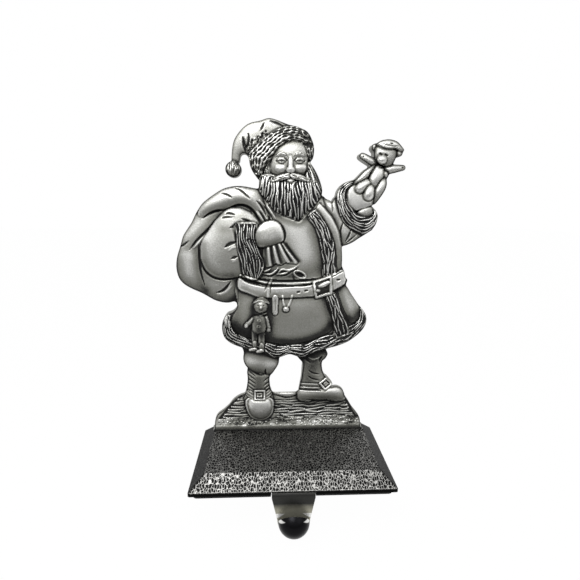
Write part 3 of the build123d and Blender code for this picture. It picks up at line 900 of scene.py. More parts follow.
@dataclass
class FigureCasting:
    """Relief figure of a bearded gift-bringer with a sack, on a rocky foot."""

    pitch: float = 0.36
    left: float = -62.0
    right: float = 64.0
    top: float = 179.0
    eye: Triple = EYE
    drawing_plane: float = 22.0
    foot_relief: float = 8.0
    thinnest: float = 1.5
    thickest: float = 13.4
    wall_share: float = 0.88
    back_tone: float = 0.42
    back_block: int = 8
    rim_rounds: int = 8
    rim_slope: float = 0.3
    rim_blur: float = 0.5
    trim_share: float = 0.7
    leg_gap: tuple[Span, Span] = ((-9.8, 5.4), (27.0, 31.5))
    flare_heights: Span = (34.0, 44.0)
    foot_flare: float = 3.0
    finish: AntiquePewter = field(default_factory=AntiquePewter)

    def __post_init__(self) -> None:
        """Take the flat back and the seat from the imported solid, and start the sheet."""
        low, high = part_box("figure")
        self.back = high[1] / MM
        self.seat = low[2] / MM
        depth = self.sight(self.foot_relief)
        self.bottom = self.eye[2] + (self.seat - self.eye[2]) / depth
        self.relief = ReliefDrawing(self.left, self.right, self.bottom, self.top, self.pitch)

    def sight(self, height: float) -> float:
        """Return the scale of the drawing about the eye at a height of the relief."""
        return (self.back - height - self.eye[1]) / (self.drawing_plane - self.eye[1])

    def draw_ground(self) -> None:
        """Draw the rocky foot: an upright front edge, a bright ledge and a furrowed slope."""
        relief = self.relief
        # The soft path strokes below paint shade on the upright front edge and the slope and a line of it
        # where the slope meets the ledge, and highlights on the ledge and between the legs; the random ones
        # only mottle the ledge.
        lay, paint_light_and_patina, carve, fur = relief.lay, relief.paint_light_and_patina, relief.carve, relief.fur
        hill = [(-41.3, 3), (-41.3, 9), (-41.0, 14), (-39.6, 17.4), (-36, 20.2), (-33, 23), (-30.6, 26),
                (-27, 28.4), (-23, 29.4), (-16, 29.8), (-9, 30.1), (-2, 29.3), (4.5, 29.9), (14, 30),
                (24, 30), (29.5, 28.4), (32.1, 26), (35.4, 20.6), (38.2, 17), (39.9, 14), (40.3, 9),
                (40.3, 3)]
        lay(hill, 8.0, low=7.0, edge=1.2)
        slope = np.interp(relief.z, [0, 10.4, 11.4, 15.0, 29.0], [8.0, 8.0, 7.6, 6.9, 4.4])
        drop = relief.height - 8.0
        relief.height = np.where(relief.cover > 0, slope[:, None] + 0.7 * drop, 0.0)
        relief.height[: int(2.0 / relief.pitch)] = 8.0
        left = [(-39, 15), (-35, 20), (-30, 25.5), (-25, 28.8)]
        right = [(38.5, 14.8), (35.5, 19), (32, 25), (26, 29)]
        paint_light_and_patina([(-36, 19), (-20, 21), (0, 22), (20, 21), (36, 18)], 12.0, 0.26)
        fur(left, right, 10, 11.0, 0.95, 0.9, 11, Flow.ACROSS, sway=0.16, ground=0.9)
        lay([(-9, 29.9), (-5.5, 28.3), (-1, 27.4), (2.5, 28), (4.8, 29.9), (-2, 30.0)], 6.6, low=5.2,
            contour=0.3)
        paint_light_and_patina([(-8, 29.4), (-2, 28.6), (4, 29.4)], 3.0, -0.3)
        paint_light_and_patina([(-42, 7.0), (41, 7.0)], 6.0, 0.72)
        paint_light_and_patina([(-39, 15.2), (39, 15.2)], 3.0, 0.16)
        paint_light_and_patina([(-40, 12.0), (39, 12.0)], 2.6, -0.06)
        chance = np.random.default_rng(12)
        for _ in range(60):
            x, z = chance.uniform(-39.0, 37.0), chance.uniform(11.0, 15.6)
            paint_light_and_patina([(x, z), (x + chance.uniform(0.5, 2.5), z + chance.uniform(-0.4, 0.8))],
                 chance.uniform(1.0, 2.2), chance.choice((-0.3, 0.3)))
        for _ in range(420):
            x, z = chance.uniform(-39.5, 39.0), chance.uniform(10.6, 15.8)
            tip = (x + chance.uniform(-0.9, 0.9), z + chance.uniform(-0.3, 0.3))
            raised = chance.uniform() < 0.5
            carve([(x, z), tip], chance.uniform(0.5, 1.0), -0.8 if raised else 0.35,
                  0.0 if raised else chance.uniform(0.5, 1.0), haze=0.0)

    def draw_legs(self) -> None:
        """Draw both legs in breeches and stockings, with their buckled shoes."""
        # The soft path strokes below paint shade inside the buckles, down the stockings, round the knee and
        # over the shoes, and highlights on the knee and on the far shoe's top.
        lay, paint_light_and_patina, carve = self.relief.lay, self.relief.paint_light_and_patina, self.relief.carve
        lay([(-22.4, 44), (-22.6, 38), (-23.2, 33), (-24.2, 29), (-24.2, 25), (-16.5, 23), (-9, 25),
             (-9.2, 29), (-10.3, 33), (-10.7, 38), (-10.2, 42), (-16, 45)], 7.2, low=4.4, full=0.4)
        for z in (43.0, 40.8, 38.5, 36.3, 34.2):
            carve([(-22.6, z), (-20.6, z - 1.6), (-18.4, z - 3.4)], 0.9, 0.7, 0.8)
        for z in (39.2, 36.6, 34.4, 32.6):
            carve([(-10.4, z), (-12.2, z - 1.2), (-14, z - 3.0)], 0.9, 0.7, 0.8)
        lay([(-24.4, 57), (-24.5, 53), (-24.9, 50), (-24.2, 46.8), (-22.2, 44), (-18.5, 41), (-15, 39.9),
             (-12.8, 40.6), (-10, 40.2), (-7.8, 42.8), (-5.7, 46.4), (-5.4, 50), (-7, 54), (-14, 58)], 7.9,
            low=4.8)
        carve([(-12.4, 40.3), (-12.9, 42), (-12.6, 43.6)], 1.4, 0.9)
        carve([(-16.4, 40.9), (-13.8, 40.2)], 1.0, -0.5, 0.0)
        sole = [(-23.6, 26), (-23.4, 20.2), (-21.2, 15.6), (-17, 13.9), (-13, 14.2), (-9.6, 16.8), (-8.5, 21),
                (-9, 26), (-16, 29)]
        lay(sole, 7.6, low=6.6, edge=0.8, contour=0.8)
        lay([(-22.3, 25), (-22.1, 20.6), (-20.3, 16.6), (-16.8, 15.0), (-13.2, 15.3), (-10.6, 17.7),
             (-9.7, 21.2), (-10.3, 25), (-12.5, 27), (-16.4, 27.6), (-20.5, 27)], 9.8, low=6.8)
        lay([(-23.6, 29), (-22, 27.3), (-16.5, 25.6), (-11, 27.3), (-9.4, 29), (-10, 31.6), (-16.2, 29.4),
             (-23, 31.6)], 0.6, settle=1.0)
        for z in (30.8, 29.0):
            carve([(-23.8, z + 1.2), (-21.5, z - 1.0), (-18.5, z - 2.6)], 0.7, 0.5, 0.8)
            carve([(-9.3, z + 1.2), (-11, z - 0.6), (-13, z - 2.0)], 0.7, 0.5, 0.8)
        self.draw_buckle([(-19.2, 31.5), (-13.0, 31.5), (-13.0, 25.5), (-19.2, 25.5)], 1.1, 0.9)
        lay([(-17.8, 29.8), (-14.5, 29.8), (-14.5, 27.2), (-17.8, 27.2)], 0.7, edge=0.4, contour=0.4,
            straight=True)
        carve([(-16.5, 28.5), (-15.8, 28.5)], 1.5, 0.4, 0.75, taper=False)
        paint_light_and_patina([(-17.6, 28.5), (-14.6, 28.5)], 3.4, 0.25)
        paint_light_and_patina([(-20.4, 22.4), (-16.4, 23.4), (-12, 22.4)], 7.0, 0.02)
        paint_light_and_patina([(-21.4, 18.6), (-16.6, 16.2), (-11.2, 18.2)], 4.0, 0.12)
        paint_light_and_patina([(-16.6, 43), (-16.6, 33)], 9.0, 0.46)
        paint_light_and_patina([(-24.6, 54), (-15, 51.6), (-5, 50.6)], 4.0, 0.2)
        paint_light_and_patina([(-24, 47), (-21, 44)], 3.5, 0.1)
        paint_light_and_patina([(-21, 48), (-15, 46), (-8.6, 47)], 6.0, -0.32)

        lay([(4.6, 52), (7.7, 46.6), (7.5, 42.2), (7, 38), (6.4, 35.6), (5.7, 30.8), (8, 27), (18, 26),
             (23, 31), (22, 36), (19.6, 39.6), (18.4, 43.4), (18.3, 47.4), (20.3, 49.4), (21, 53), (13, 58)],
            7.2, low=4.4, full=0.4)
        carve([(7.2, 50.4), (9.6, 48.8), (12, 46.6)], 1.3, 0.8)
        carve([(18.4, 50.4), (17.2, 48.8), (16.8, 47.4)], 1.6, 0.9)
        carve([(10.5, 50), (13.5, 48.6), (17, 49.6)], 1.3, -0.5, 0.0)
        for z in (42.6, 39.2):
            carve([(10.8, z), (13, z - 1.5), (17, z - 2.6)], 1.1, 0.8)
        shoe = [(5, 31), (4.7, 28), (5.3, 25.6), (7.4, 24.6), (11.5, 24.4), (13, 25.4), (15.5, 25.2),
                (21, 25.2), (27, 24.2), (31.2, 25.2), (31, 28.4), (29.6, 31.4), (26.6, 32.9), (24, 32.6),
                (21, 32.8), (16, 31.4), (10, 31.6)]
        lay(shoe, 8.5, low=5.6)
        carve([(9.5, 25.4), (12.5, 25.4), (15.5, 25.0)], 1.0, 0.8)
        for z, width in ((35.8, 0.8), (33.7, 0.7), (31.7, 0.9)):
            carve([(6, z), (10, z - 0.5), (17.6, z - 0.9)], width, 0.5, 0.75, taper=False)
            carve([(6.2, z - 0.9), (10, z - 1.3), (17, z - 1.7)], 0.8, -0.35, 0.0, taper=False)
        self.draw_buckle([(20.9, 38.6), (24.6, 34.4), (20.2, 30.4), (16.4, 34.8)], 1.2, 0.9)
        lay([(20.8, 36.2), (22.3, 34.5), (20.5, 32.9), (18.9, 34.7)], 0.5, edge=0.4, contour=0.2,
            straight=True)
        paint_light_and_patina([(20.6, 34.5), (20.7, 34.6)], 2.4, 0.25)
        paint_light_and_patina([(13.5, 48), (12, 38)], 9.0, 0.48)
        paint_light_and_patina([(6, 26.2), (15, 26.4), (30, 26)], 3.4, 0.3)
        paint_light_and_patina([(6, 29), (16, 29), (29, 28.6)], 5.0, 0.22)
        paint_light_and_patina([(22, 31.6), (28.4, 30.6)], 3.4, -0.12)

    def draw_buckle(self, corners: Points, bar: float, rise: float) -> None:
        """Draw a square buckle frame with a dark inside.

        Args:
            corners: Its outer corners, in order.
            bar: Width of its bars.
            rise: How far it stands out.
        """
        relief = self.relief
        relief.lay(corners, rise, edge=0.4, straight=True, contour=0.9)
        middle = np.mean(np.array(corners), axis=0)
        inner = []
        for corner in corners:
            out = np.array(corner) - middle
            inner.append(tuple(middle + out * (1 - bar * 1.35 / np.hypot(*out))))
        curve = np.array(inner)
        window = relief.window(curve, 1.0)
        _, _, inside = relief.reach(curve, window, True)
        relief.height[window] -= inside * (rise + 0.7)
        relief.ink[window] = np.maximum(relief.ink[window], inside * 0.82)

    def draw_sack(self) -> None:
        """Draw the sack on the back with its heavy folds."""
        # The soft path strokes below paint shade along the sack's lower edge, the sleeve's shadow on it and
        # the shadow under the long fold, and highlights on its upper and lower parts.
        lay, paint_light_and_patina, carve = self.relief.lay, self.relief.paint_light_and_patina, self.relief.carve
        lay([(-10, 139), (-15.3, 140.4), (-18.5, 141), (-23, 141.8), (-27.1, 142), (-31, 141.4), (-35, 140),
             (-41, 136.1), (-44.6, 133.2), (-46.8, 130.3), (-48.6, 127.2), (-50.5, 123.4), (-53, 119.7),
             (-55.2, 116.2), (-56.8, 111), (-58.5, 106), (-59.2, 101.7), (-59, 97.6), (-57.8, 93.8),
             (-55.2, 90.8), (-51.2, 88.4), (-46.4, 86.2), (-42.9, 84.2), (-39.4, 82.2), (-35.4, 81),
             (-31.9, 80.8), (-29, 81.5), (-27.8, 80.4), (-27.4, 78.6), (-24, 80), (-16, 95), (-8, 120)], 7.6,
            low=4.4, full=0.45)
        paint_light_and_patina([(-58.6, 103), (-57.6, 95), (-52, 90), (-44, 86), (-36, 82.6), (-29, 82)], 5.0, 0.24)
        paint_light_and_patina([(-48.4, 110), (-48, 101), (-46.4, 92), (-44, 88)], 4.0, 0.3)
        paint_light_and_patina([(-54, 106), (-52.4, 97)], 6.0, -0.16)
        long_fold = [(-52, 109.2), (-48.4, 113.8), (-44.6, 117.4), (-41, 121), (-38, 124.6), (-35, 127)]
        paint_light_and_patina([(x - 1.2, z + 1.2) for x, z in long_fold], 3.2, 0.2)
        carve(long_fold, 1.7, 1.2)
        carve([(-50, 110), (-46.4, 113.8), (-43, 117.6), (-41.4, 119.6)], 1.8, -0.5, 0.0)
        carve([(-57.4, 110.4), (-55, 111.8), (-52.4, 113.8)], 1.3, 0.9)
        paint_light_and_patina([(-54, 116), (-50, 120), (-46, 125)], 6.0, -0.12)
        paint_light_and_patina([(-52, 106.6), (-50.6, 105)], 2.6, -0.12)
        carve([(-47.4, 112), (-47, 104), (-46.4, 97), (-44.6, 90.2)], 1.5, 0.9)
        carve([(-38.6, 86.2), (-34.6, 87.8), (-31, 92)], 1.8, 1.2)
        carve([(-38.4, 84.8), (-33.8, 86.2), (-30, 90)], 1.6, -0.25, 0.0)
        paint_light_and_patina([(-41, 91), (-34, 91.4), (-28, 90)], 3.0, -0.08)

    def draw_roll(self) -> None:
        """Draw the sack's roll, which comes over the shoulder to the fist."""
        # The soft path strokes below paint shade along the roll's lower edge.
        lay, paint_light_and_patina, carve = self.relief.lay, self.relief.paint_light_and_patina, self.relief.carve
        lay([(-7, 120), (-9.4, 125), (-11.2, 130), (-13, 135.4), (-14.6, 140), (-19, 140.9), (-24, 141.6),
             (-29, 141.4), (-35, 139.7), (-41, 135.9), (-44.6, 132.8), (-46.6, 129.8), (-47, 126.8),
             (-44.2, 126.4), (-40, 128.5), (-35, 129.6), (-31, 130.6), (-28, 131.8), (-24.6, 132.2),
             (-21, 131), (-18.2, 128.4), (-16.3, 124.6), (-15, 120)], 9.0, low=5.8, full=0.5, contour=0.0)
        paint_light_and_patina([(-43, 129), (-38, 130.8), (-32, 132.2), (-28, 133.4), (-24.6, 133.8), (-20.6, 132.4),
              (-17.4, 129)], 3.8, 0.14)
        paint_light_and_patina([(-44, 132.4), (-36, 137), (-26, 138.6), (-18, 138)], 4.0, 0.04)
        carve([(-44.6, 125.6), (-41, 128), (-37, 129.4), (-32, 129.8)], 1.7, 1.2, 0.97)
        carve([(-32.4, 129.8), (-29, 131.6), (-24.6, 132.3), (-20.6, 131), (-17.4, 127.8), (-15.4, 122)], 1.8,
              1.3, 0.97)
        carve([(-27.8, 140.9), (-24.6, 139.6), (-20.2, 135.6)], 1.2, 0.9)
        carve([(-34.6, 138.2), (-32, 137.6), (-29.4, 136)], 1.2, 0.8)
        for stroke in ([(-16.6, 134.4), (-14, 131.4), (-11.6, 126)],
                       [(-15.6, 129.6), (-13.8, 127), (-12, 123.4)],
                       [(-18.4, 128.6), (-16.2, 126), (-14.2, 122.8)],
                       [(-13, 132), (-10.6, 128.6), (-8, 124.4)]):
            carve(stroke, 1.5, 1.1)
            carve([(x + 1.3, z + 0.5) for x, z in stroke], 1.1, -0.6, 0.0)

    def draw_coat(self) -> None:
        """Draw the tunic, the coat and its skirt."""
        # The soft path strokes below paint shade over the belly, in a band above the hem, along the coat's
        # edges, on the right panel's lower part, just above the belt and under the beard, and highlights on
        # the belly, the right panel and the chest.
        lay, paint_light_and_patina, carve, fur = self.relief.lay, self.relief.paint_light_and_patina, self.relief.carve, self.relief.fur
        lay([(-14, 139), (-20, 128), (-24, 112), (-26.6, 97), (-26.4, 86), (-10, 80), (10, 80), (29, 88),
             (30, 96), (28.3, 101), (28.2, 111), (27.8, 120), (25, 129), (22.4, 134), (19, 135.6),
             (16.5, 137.2), (5, 142), (-6, 142)], 9.3, low=5.6, full=0.36)
        lay([(-26.8, 93), (-27.4, 80), (-29.6, 75.8), (-33, 74), (-35.4, 71), (-36, 67), (-35.4, 63),
             (-33.5, 60), (-29, 57.2), (-25, 55.8), (-21.3, 55), (-14.5, 52.7), (-9.4, 50.5), (-4.9, 50.2),
             (0.2, 51.8), (4.2, 50.7), (8.2, 50.2), (14, 52.4), (21.8, 55), (25.2, 55.8), (30.8, 57.8),
             (35.4, 60.6), (39.3, 64), (41.6, 67.4), (42.4, 70.8), (41.6, 74.2), (39.4, 77.1), (37.4, 79.6),
             (34.2, 84.4), (30.8, 89.5), (29, 94), (0, 93)], 9.5, low=6.4, full=0.4, contour=0.0)
        lay([(-25, 90), (-27.4, 79), (-30.6, 72), (-31, 68.6), (-29.6, 65.8), (-26.5, 63), (-21.9, 60.9),
             (-14.5, 59.2), (-6, 57.6), (2.5, 57.4), (11, 58.8), (17.8, 61.5), (22.6, 64.6), (24, 67.5),
             (23.2, 71.5), (21, 77), (18.5, 84), (10, 90), (-10, 90)], 1.1, settle=3.0, full=0.5, contour=0.9)
        paint_light_and_patina([(-24, 76), (-8, 72), (8, 72), (19, 78)], 15.0, 0.17)
        paint_light_and_patina([(-29.6, 68), (-26, 64.6), (-20, 62.2), (-10, 60), (0, 58.8), (10, 60), (18, 63.4),
              (22.6, 67.6)], 4.4, 0.5)
        paint_light_and_patina([(-27.4, 82), (-28.6, 74), (-26, 67)], 5.0, 0.2)
        paint_light_and_patina([(22.4, 69), (20.6, 76), (18.6, 83)], 3.0, 0.2)
        paint_light_and_patina([(-2, 80), (12, 81)], 5.0, -0.08)
        lay([(26.4, 89), (28.6, 80), (31.4, 73.6), (33.2, 69.4), (36, 69.4), (38.4, 71.6), (38.8, 75.4),
             (37.4, 79), (34, 84.4), (30.8, 89.4)], 0.5, settle=2.0, full=0.4, contour=0.8)
        paint_light_and_patina([(33.4, 71), (36, 72), (37.8, 74.4)], 4.6, 0.44)
        paint_light_and_patina([(27.6, 87), (30, 79), (32.6, 72)], 2.6, 0.22)
        paint_light_and_patina([(30, 85), (33.6, 78)], 5.0, -0.13)
        lay([(14.6, 130), (18.6, 124.8), (21.6, 119.5), (24.2, 113), (25.2, 104), (25, 97), (28.2, 100),
             (28.2, 110), (27.2, 117), (25, 123), (21.5, 128.5), (17, 133)], 0.7, settle=2.0, full=0.4,
            contour=0.5)
        carve([(16.2, 133.4), (20, 130), (23.4, 126), (26.2, 120.4), (28.2, 115.4)], 1.6, 0.9)
        paint_light_and_patina([(17.4, 98), (16.4, 104), (14.6, 112), (12, 119)], 4.0, 0.2)
        paint_light_and_patina([(10, 97), (14, 99)], 6.0, 0.22)
        paint_light_and_patina([(-15, 97), (-6, 95.6), (4, 95)], 5.0, 0.42)
        paint_light_and_patina([(-4, 121), (5, 118), (8, 108)], 10.0, -0.2)
        paint_light_and_patina([(-8, 128), (-2, 124.6), (5.4, 122.6), (10, 126.4)], 3.0, 0.34)
        outer = [(-33.2, 74.2), (-35.4, 71), (-36, 67), (-35.4, 63), (-33.5, 60), (-29, 57.2), (-21.3, 55),
                 (-14.5, 52.7), (-9.4, 50.5), (-4.9, 50.2), (0.2, 51.8), (4.2, 50.7), (8.2, 50.2), (14, 52.4),
                 (21.8, 55), (30.8, 57.8), (35.4, 60.6), (39.3, 64), (41.6, 67.4), (42.4, 70.8), (41.4, 74.2),
                 (39.4, 77.4)]
        inner = [(-31.6, 73.8), (-31.8, 71), (-31.2, 68), (-29.8, 65.6), (-26.8, 62.8), (-21.9, 60.6),
                 (-14.5, 58.9), (-6, 57.2), (2.5, 57), (11, 58.4), (17.8, 61.2), (24, 63), (29, 64.6),
                 (33, 67), (36.4, 69), (38.6, 71.6), (39, 74), (38.8, 77)]
        lay(outer + inner[::-1], 10.9, low=8.4, full=0.35, contour=0.5)
        fur(outer, inner, 5, 9.0, 0.5, 0.95, 21, sway=0.35, ground=1.0)
        chest = ([(10, 126.2), (13.6, 121), (15.9, 114.6), (17.4, 107.4), (18.4, 101), (18.6, 94.5)],
                 [(14.2, 130), (17.8, 125.4), (21, 120), (23.4, 114.2), (24.5, 109), (24.9, 102), (24.8, 95)],
                 5, 22)
        skirt = ([(20.2, 84.5), (22, 77), (23.8, 71), (24.8, 66), (25.2, 60.5)],
                 [(24.6, 86), (27.2, 79.6), (29.6, 74), (31.6, 69), (33, 63)], 4, 23)
        for left, right, rows, seed in (chest, skirt):
            lay(left + right[::-1], 11.3, low=9.2, full=0.35, contour=0.7)
            fur(left, right, rows, 7.5, 0.6, 0.95, seed, sway=0.2, ground=1.0)

    def draw_belt(self) -> None:
        """Draw the belt with its rim, holes, keeper loop and buckle, and what hangs from it."""
        # The soft path strokes below paint shade along the belt's lower half and its left end, and a
        # highlight inside the buckle.
        lay, paint_light_and_patina, carve = self.relief.lay, self.relief.paint_light_and_patina, self.relief.carve
        lay([(-26.6, 94), (-23.5, 92.4), (-20.2, 91), (-12.8, 89.3), (-8.3, 89), (2, 89.2), (11, 89.8),
             (16, 92.6), (20.1, 94.1), (24.6, 95.8), (28.6, 98.2), (30.2, 95), (30.1, 91), (25.2, 87.6),
             (20, 85.4), (13.8, 83.9), (8.2, 83.4), (-0.3, 83), (-9.4, 83), (-15.6, 83.4), (-21.3, 85.6),
             (-26.8, 88.4)], 11.5, low=10.0, edge=0.8, contour=1.0)
        rim = [(-25.6, 95.4), (-21, 93.9), (-17.3, 92.8), (-11.1, 91.3), (-6, 91), (2.5, 91), (11, 91.5),
               (13, 92.2)]
        paint_light_and_patina([(-26, 90.6), (-18, 87.4), (-8, 86), (4, 86), (13, 87)], 5.0, 0.1)
        paint_light_and_patina([(-26, 88.6), (-18, 85.2), (-8, 83.6), (4, 83.6), (14, 84.6)], 2.4, 0.18)
        paint_light_and_patina([(-26.6, 91), (-23, 89.6)], 4.0, 0.14)
        carve(rim, 1.6, -1.1, 0.0, taper=False)
        carve([(x, z - 1.3) for x, z in rim], 0.9, 1.0, 1.0, taper=False)
        carve([(x, z - 2.1) for x, z in rim], 0.7, -0.35, 0.0, taper=False)
        carve([(x, z + 1.1) for x, z in rim], 0.7, 0.4, 0.7, taper=False)
        carve([(21, 94.6), (25, 96.2), (29, 98.8)], 1.2, -0.7, 0.0, taper=False)
        carve([(21, 93.6), (25, 95.2), (29.2, 97.6)], 0.6, 0.6, 0.9, taper=False)
        for hole in ((5.2, 86.3), (9.3, 87), (26.6, 92.8)):
            carve([(hole[0] - 0.5, hole[1] - 0.1), (hole[0] + 0.5, hole[1] + 0.1)], 1.3, 0.9, taper=False)
        carve([(-9.2, 93), (-10.6, 90), (-11.2, 84)], 1.9, -0.9, 0.0, taper=False)
        carve([(-10.6, 92.6), (-12, 89.6), (-13, 87)], 0.8, 0.8)
        carve([(-8.4, 92.6), (-9.6, 89.6), (-10, 84.4)], 0.7, 0.5, 0.7)
        self.draw_buckle([(12.6, 92.2), (22.9, 95.2), (23.7, 85), (14.4, 82.4)], 1.35, 1.0)
        paint_light_and_patina([(16, 86.4), (20.6, 88.4)], 5.0, -0.18)
        lay([(15.9, 88.9), (17, 90.6), (19.4, 91.8), (21.6, 92.3), (22, 91), (20.4, 89.6), (18.4, 88.8)], 1.4,
            settle=1.0, full=0.4, contour=0.4)
        lay(oval((15.9, 86.9), 1.1, 0.8), 1.2, settle=1.0, contour=0.4)
        carve([(19.7, 88.3), (20.3, 88.2)], 1.1, 0.6, 1.0, taper=False)
        lay([(-8.6, 84), (-6, 84), (-5.9, 78), (-6.2, 74.6), (-7.5, 73.6), (-8.7, 74.8), (-8.8, 79)], 1.1,
            settle=1.5, full=0.4, contour=0.8)
        carve([(-7.4, 83), (-7.3, 76)], 0.5, 0.4, 0.7)
        for strap in ([(-3.2, 84), (-2.8, 80), (-1.5, 77.4)], [(1.8, 84), (0.4, 80), (-1.2, 77.4)]):
            carve(strap, 1.3, -0.9, 0.0, taper=False)
        lay(oval((-1.5, 76.8), 1.7, 1.6), 1.6, settle=1.0, contour=0.8)

    def draw_near_arm(self) -> None:
        """Draw the arm across the body: sleeve, fur cuff, fist, and the gathers that hang from it."""
        # The soft path strokes below paint shade on the lower part of the sleeve, under the roll's crease and
        # over the fist's lower part and left edge.
        lay, paint_light_and_patina, carve, fur = self.relief.lay, self.relief.paint_light_and_patina, self.relief.carve, self.relief.fur
        lay([(-15, 122), (-18.4, 127), (-21.8, 129.4), (-25.3, 130.8), (-29.7, 130.8), (-33.2, 129.2),
             (-37.6, 125), (-40.2, 121.6), (-42.4, 118.4), (-45.1, 114.6), (-46.4, 110), (-46.2, 104.3),
             (-45.1, 99.9), (-42.4, 96.4), (-39.4, 94.4), (-35.4, 93.6), (-31, 93.8), (-27.4, 94.4),
             (-22, 97), (-17, 104), (-15, 114)], 10.9, low=6.8, full=0.45, contour=1.0)
        paint_light_and_patina([(-44.6, 102), (-42, 98), (-37, 95.4), (-30, 95.4)], 4.0, 0.34)
        paint_light_and_patina([(-44.4, 112), (-44.8, 105)], 3.4, 0.16)
        carve([(-46, 103), (-44.4, 98.6), (-41.6, 95.6), (-37.6, 93.8), (-33, 93.4), (-28, 94.2)], 1.7, 1.0,
              1.0)
        paint_light_and_patina([(-34, 119.6), (-30, 120), (-26, 121)], 3.4, 0.2)
        paint_light_and_patina([(-37, 119), (-33, 112), (-32, 104)], 9.0, 0.1)
        paint_light_and_patina([(-36, 123), (-30, 128), (-24, 127)], 6.0, 0.16)
        carve([(-30.4, 120.6), (-27, 122), (-22.6, 122.8), (-18, 122.4)], 3.0, 1.0, 0.85)
        carve([(-24.4, 125.2), (-21.6, 124.2), (-18.8, 123)], 1.8, 1.0)
        carve([(-33, 127.9), (-31, 128.1), (-28.2, 127.4)], 1.2, 0.8)
        carve([(-34.8, 125.6), (-32.4, 126.1), (-29.6, 125.9)], 1.1, 0.8)
        carve([(-34.4, 126.8), (-31, 127.0), (-28.4, 126.6)], 0.9, -0.5, 0.0)
        carve([(-33.6, 110.4), (-31, 112.2), (-27.6, 113.2)], 2.2, 1.1)
        carve([(-30.4, 104.2), (-29, 105.0), (-27.0, 105.6)], 1.8, 1.0)
        carve([(-32, 108.4), (-29.6, 110), (-27.8, 110.4)], 1.8, -0.2, 0.0)
        carve([(-30, 102.6), (-27.6, 103.4)], 1.6, -0.15, 0.0)
        left = [(-28, 122.6), (-28, 115), (-27, 108.7), (-25.8, 102.6), (-25, 98), (-23, 94.6), (-20.6, 93.2)]
        right = [(-17, 123), (-17.6, 116.2), (-16.4, 111.4), (-14.6, 107), (-13, 102.6), (-13.4, 98.6),
                 (-16, 93.6)]
        lay(left + right[::-1], 11.9, low=8.6, full=0.3, contour=0.9)
        fur(left, right, 8, 11.0, 0.54, 1.0, 31, sway=0.16, ground=1.0)
        self.draw_gathers()
        lay([(-17.4, 117.2), (-16.6, 119.8), (-14.3, 122.5), (-11.2, 124), (-7.7, 124.2), (-5, 122.8),
             (-3.2, 120), (-2.4, 116.6), (-2.9, 113.8), (-5.5, 112.5), (-9.4, 111.2), (-13.4, 110.4),
             (-16, 110.6), (-17.2, 113.2)], 12.2, low=9.6, full=0.3, contour=1.1)
        paint_light_and_patina([(-16.6, 112), (-11, 111.8), (-4.6, 113.6)], 3.0, 0.3)
        paint_light_and_patina([(-16.6, 113), (-16.4, 118)], 3.0, 0.14)
        paint_light_and_patina([(-14, 119), (-9, 121), (-5.4, 119)], 6.0, 0.12)
        carve([(-4.4, 122.8), (-2.6, 119.4), (-2.0, 116), (-2.6, 113.4)], 1.6, 0.9, 0.85)

    def draw_gathers(self) -> None:
        """Draw the sack's gathered mouth below the fist, its curled edge and its drawstring ring."""
        # The soft path strokes below paint shade beside each gathered ridge and along the mouth's left edge.
        lay, paint_light_and_patina, carve = self.relief.lay, self.relief.paint_light_and_patina, self.relief.carve
        hem = [(-12.6, 100.4), (-9.4, 100.2), (-7, 101.6), (-4, 101.0), (-1.6, 102.2), (1.4, 101.6),
               (4.8, 101.8)]
        lay([(-13, 111), (-13.4, 105)] + hem + [(2.0, 105.6), (-1.4, 110), (-3.6, 113), (-9, 113)], 10.9,
            low=8.9, full=0.3, contour=0.9)
        ridges = (((-10.9, 110.4), (-9.9, 100.9)), ((-8.0, 111), (-5.6, 101.8)), ((-5.2, 112), (-0.4, 102.6)),
                  ((-3.0, 112), (3.8, 102.4)))
        for top, foot in ridges:
            paint_light_and_patina([(top[0] + 1.6, top[1]), (foot[0] + 1.8, foot[1] + 0.6)], 1.6, 0.65)
        paint_light_and_patina([(-12.6, 110), (-12.4, 101)], 1.8, 0.5)
        for top, foot in ridges:
            middle = ((top[0] + foot[0]) / 2 - 0.2, (top[1] + foot[1]) / 2)
            carve([top, middle, foot], 1.9, -1.0, 0.0, taper=False)
            carve([(x + 1.5, z) for x, z in (top, middle, foot)], 1.0, 0.8, 0.95)
        for path in ([(-14.2, 99.6), (-13.4, 97.6), (-11, 98.2), (-9.6, 99)],
                     [(-13.8, 96.4), (-10, 96), (-7.4, 97.4), (-5.6, 99.4)],
                     [(-5.6, 96.8), (-3.6, 98.6), (-0.6, 98.2), (2.6, 99), (4.8, 100.6)],
                     [(-6.4, 96), (-2.4, 96.4), (1, 98)]):
            carve([(x + 0.3, z - 1.1) for x, z in path], 1.0, 0.8, 0.95)
            carve(path, 1.3, -1.0, 0.0)
        ring = [(6 + 3.2 * math.cos(turn) - 0.3 * math.sin(turn),
                 95.7 - 0.9 * math.cos(turn) + 1.9 * math.sin(turn))
                for turn in (math.radians(36 * step) for step in range(11))]
        carve([(4.0, 96.3), (6, 95.7), (8, 95.1)], 3.0, 1.1, 1.0)
        carve(ring, 0.95, -0.9, 0.0, taper=False)
        carve([(2.2, 95), (3, 93), (4.6, 92.4)], 1.4, 0.6, 0.85)

    def draw_raised_arm(self) -> None:
        """Draw the raised arm: sleeve, curled fur cuff and mitten."""
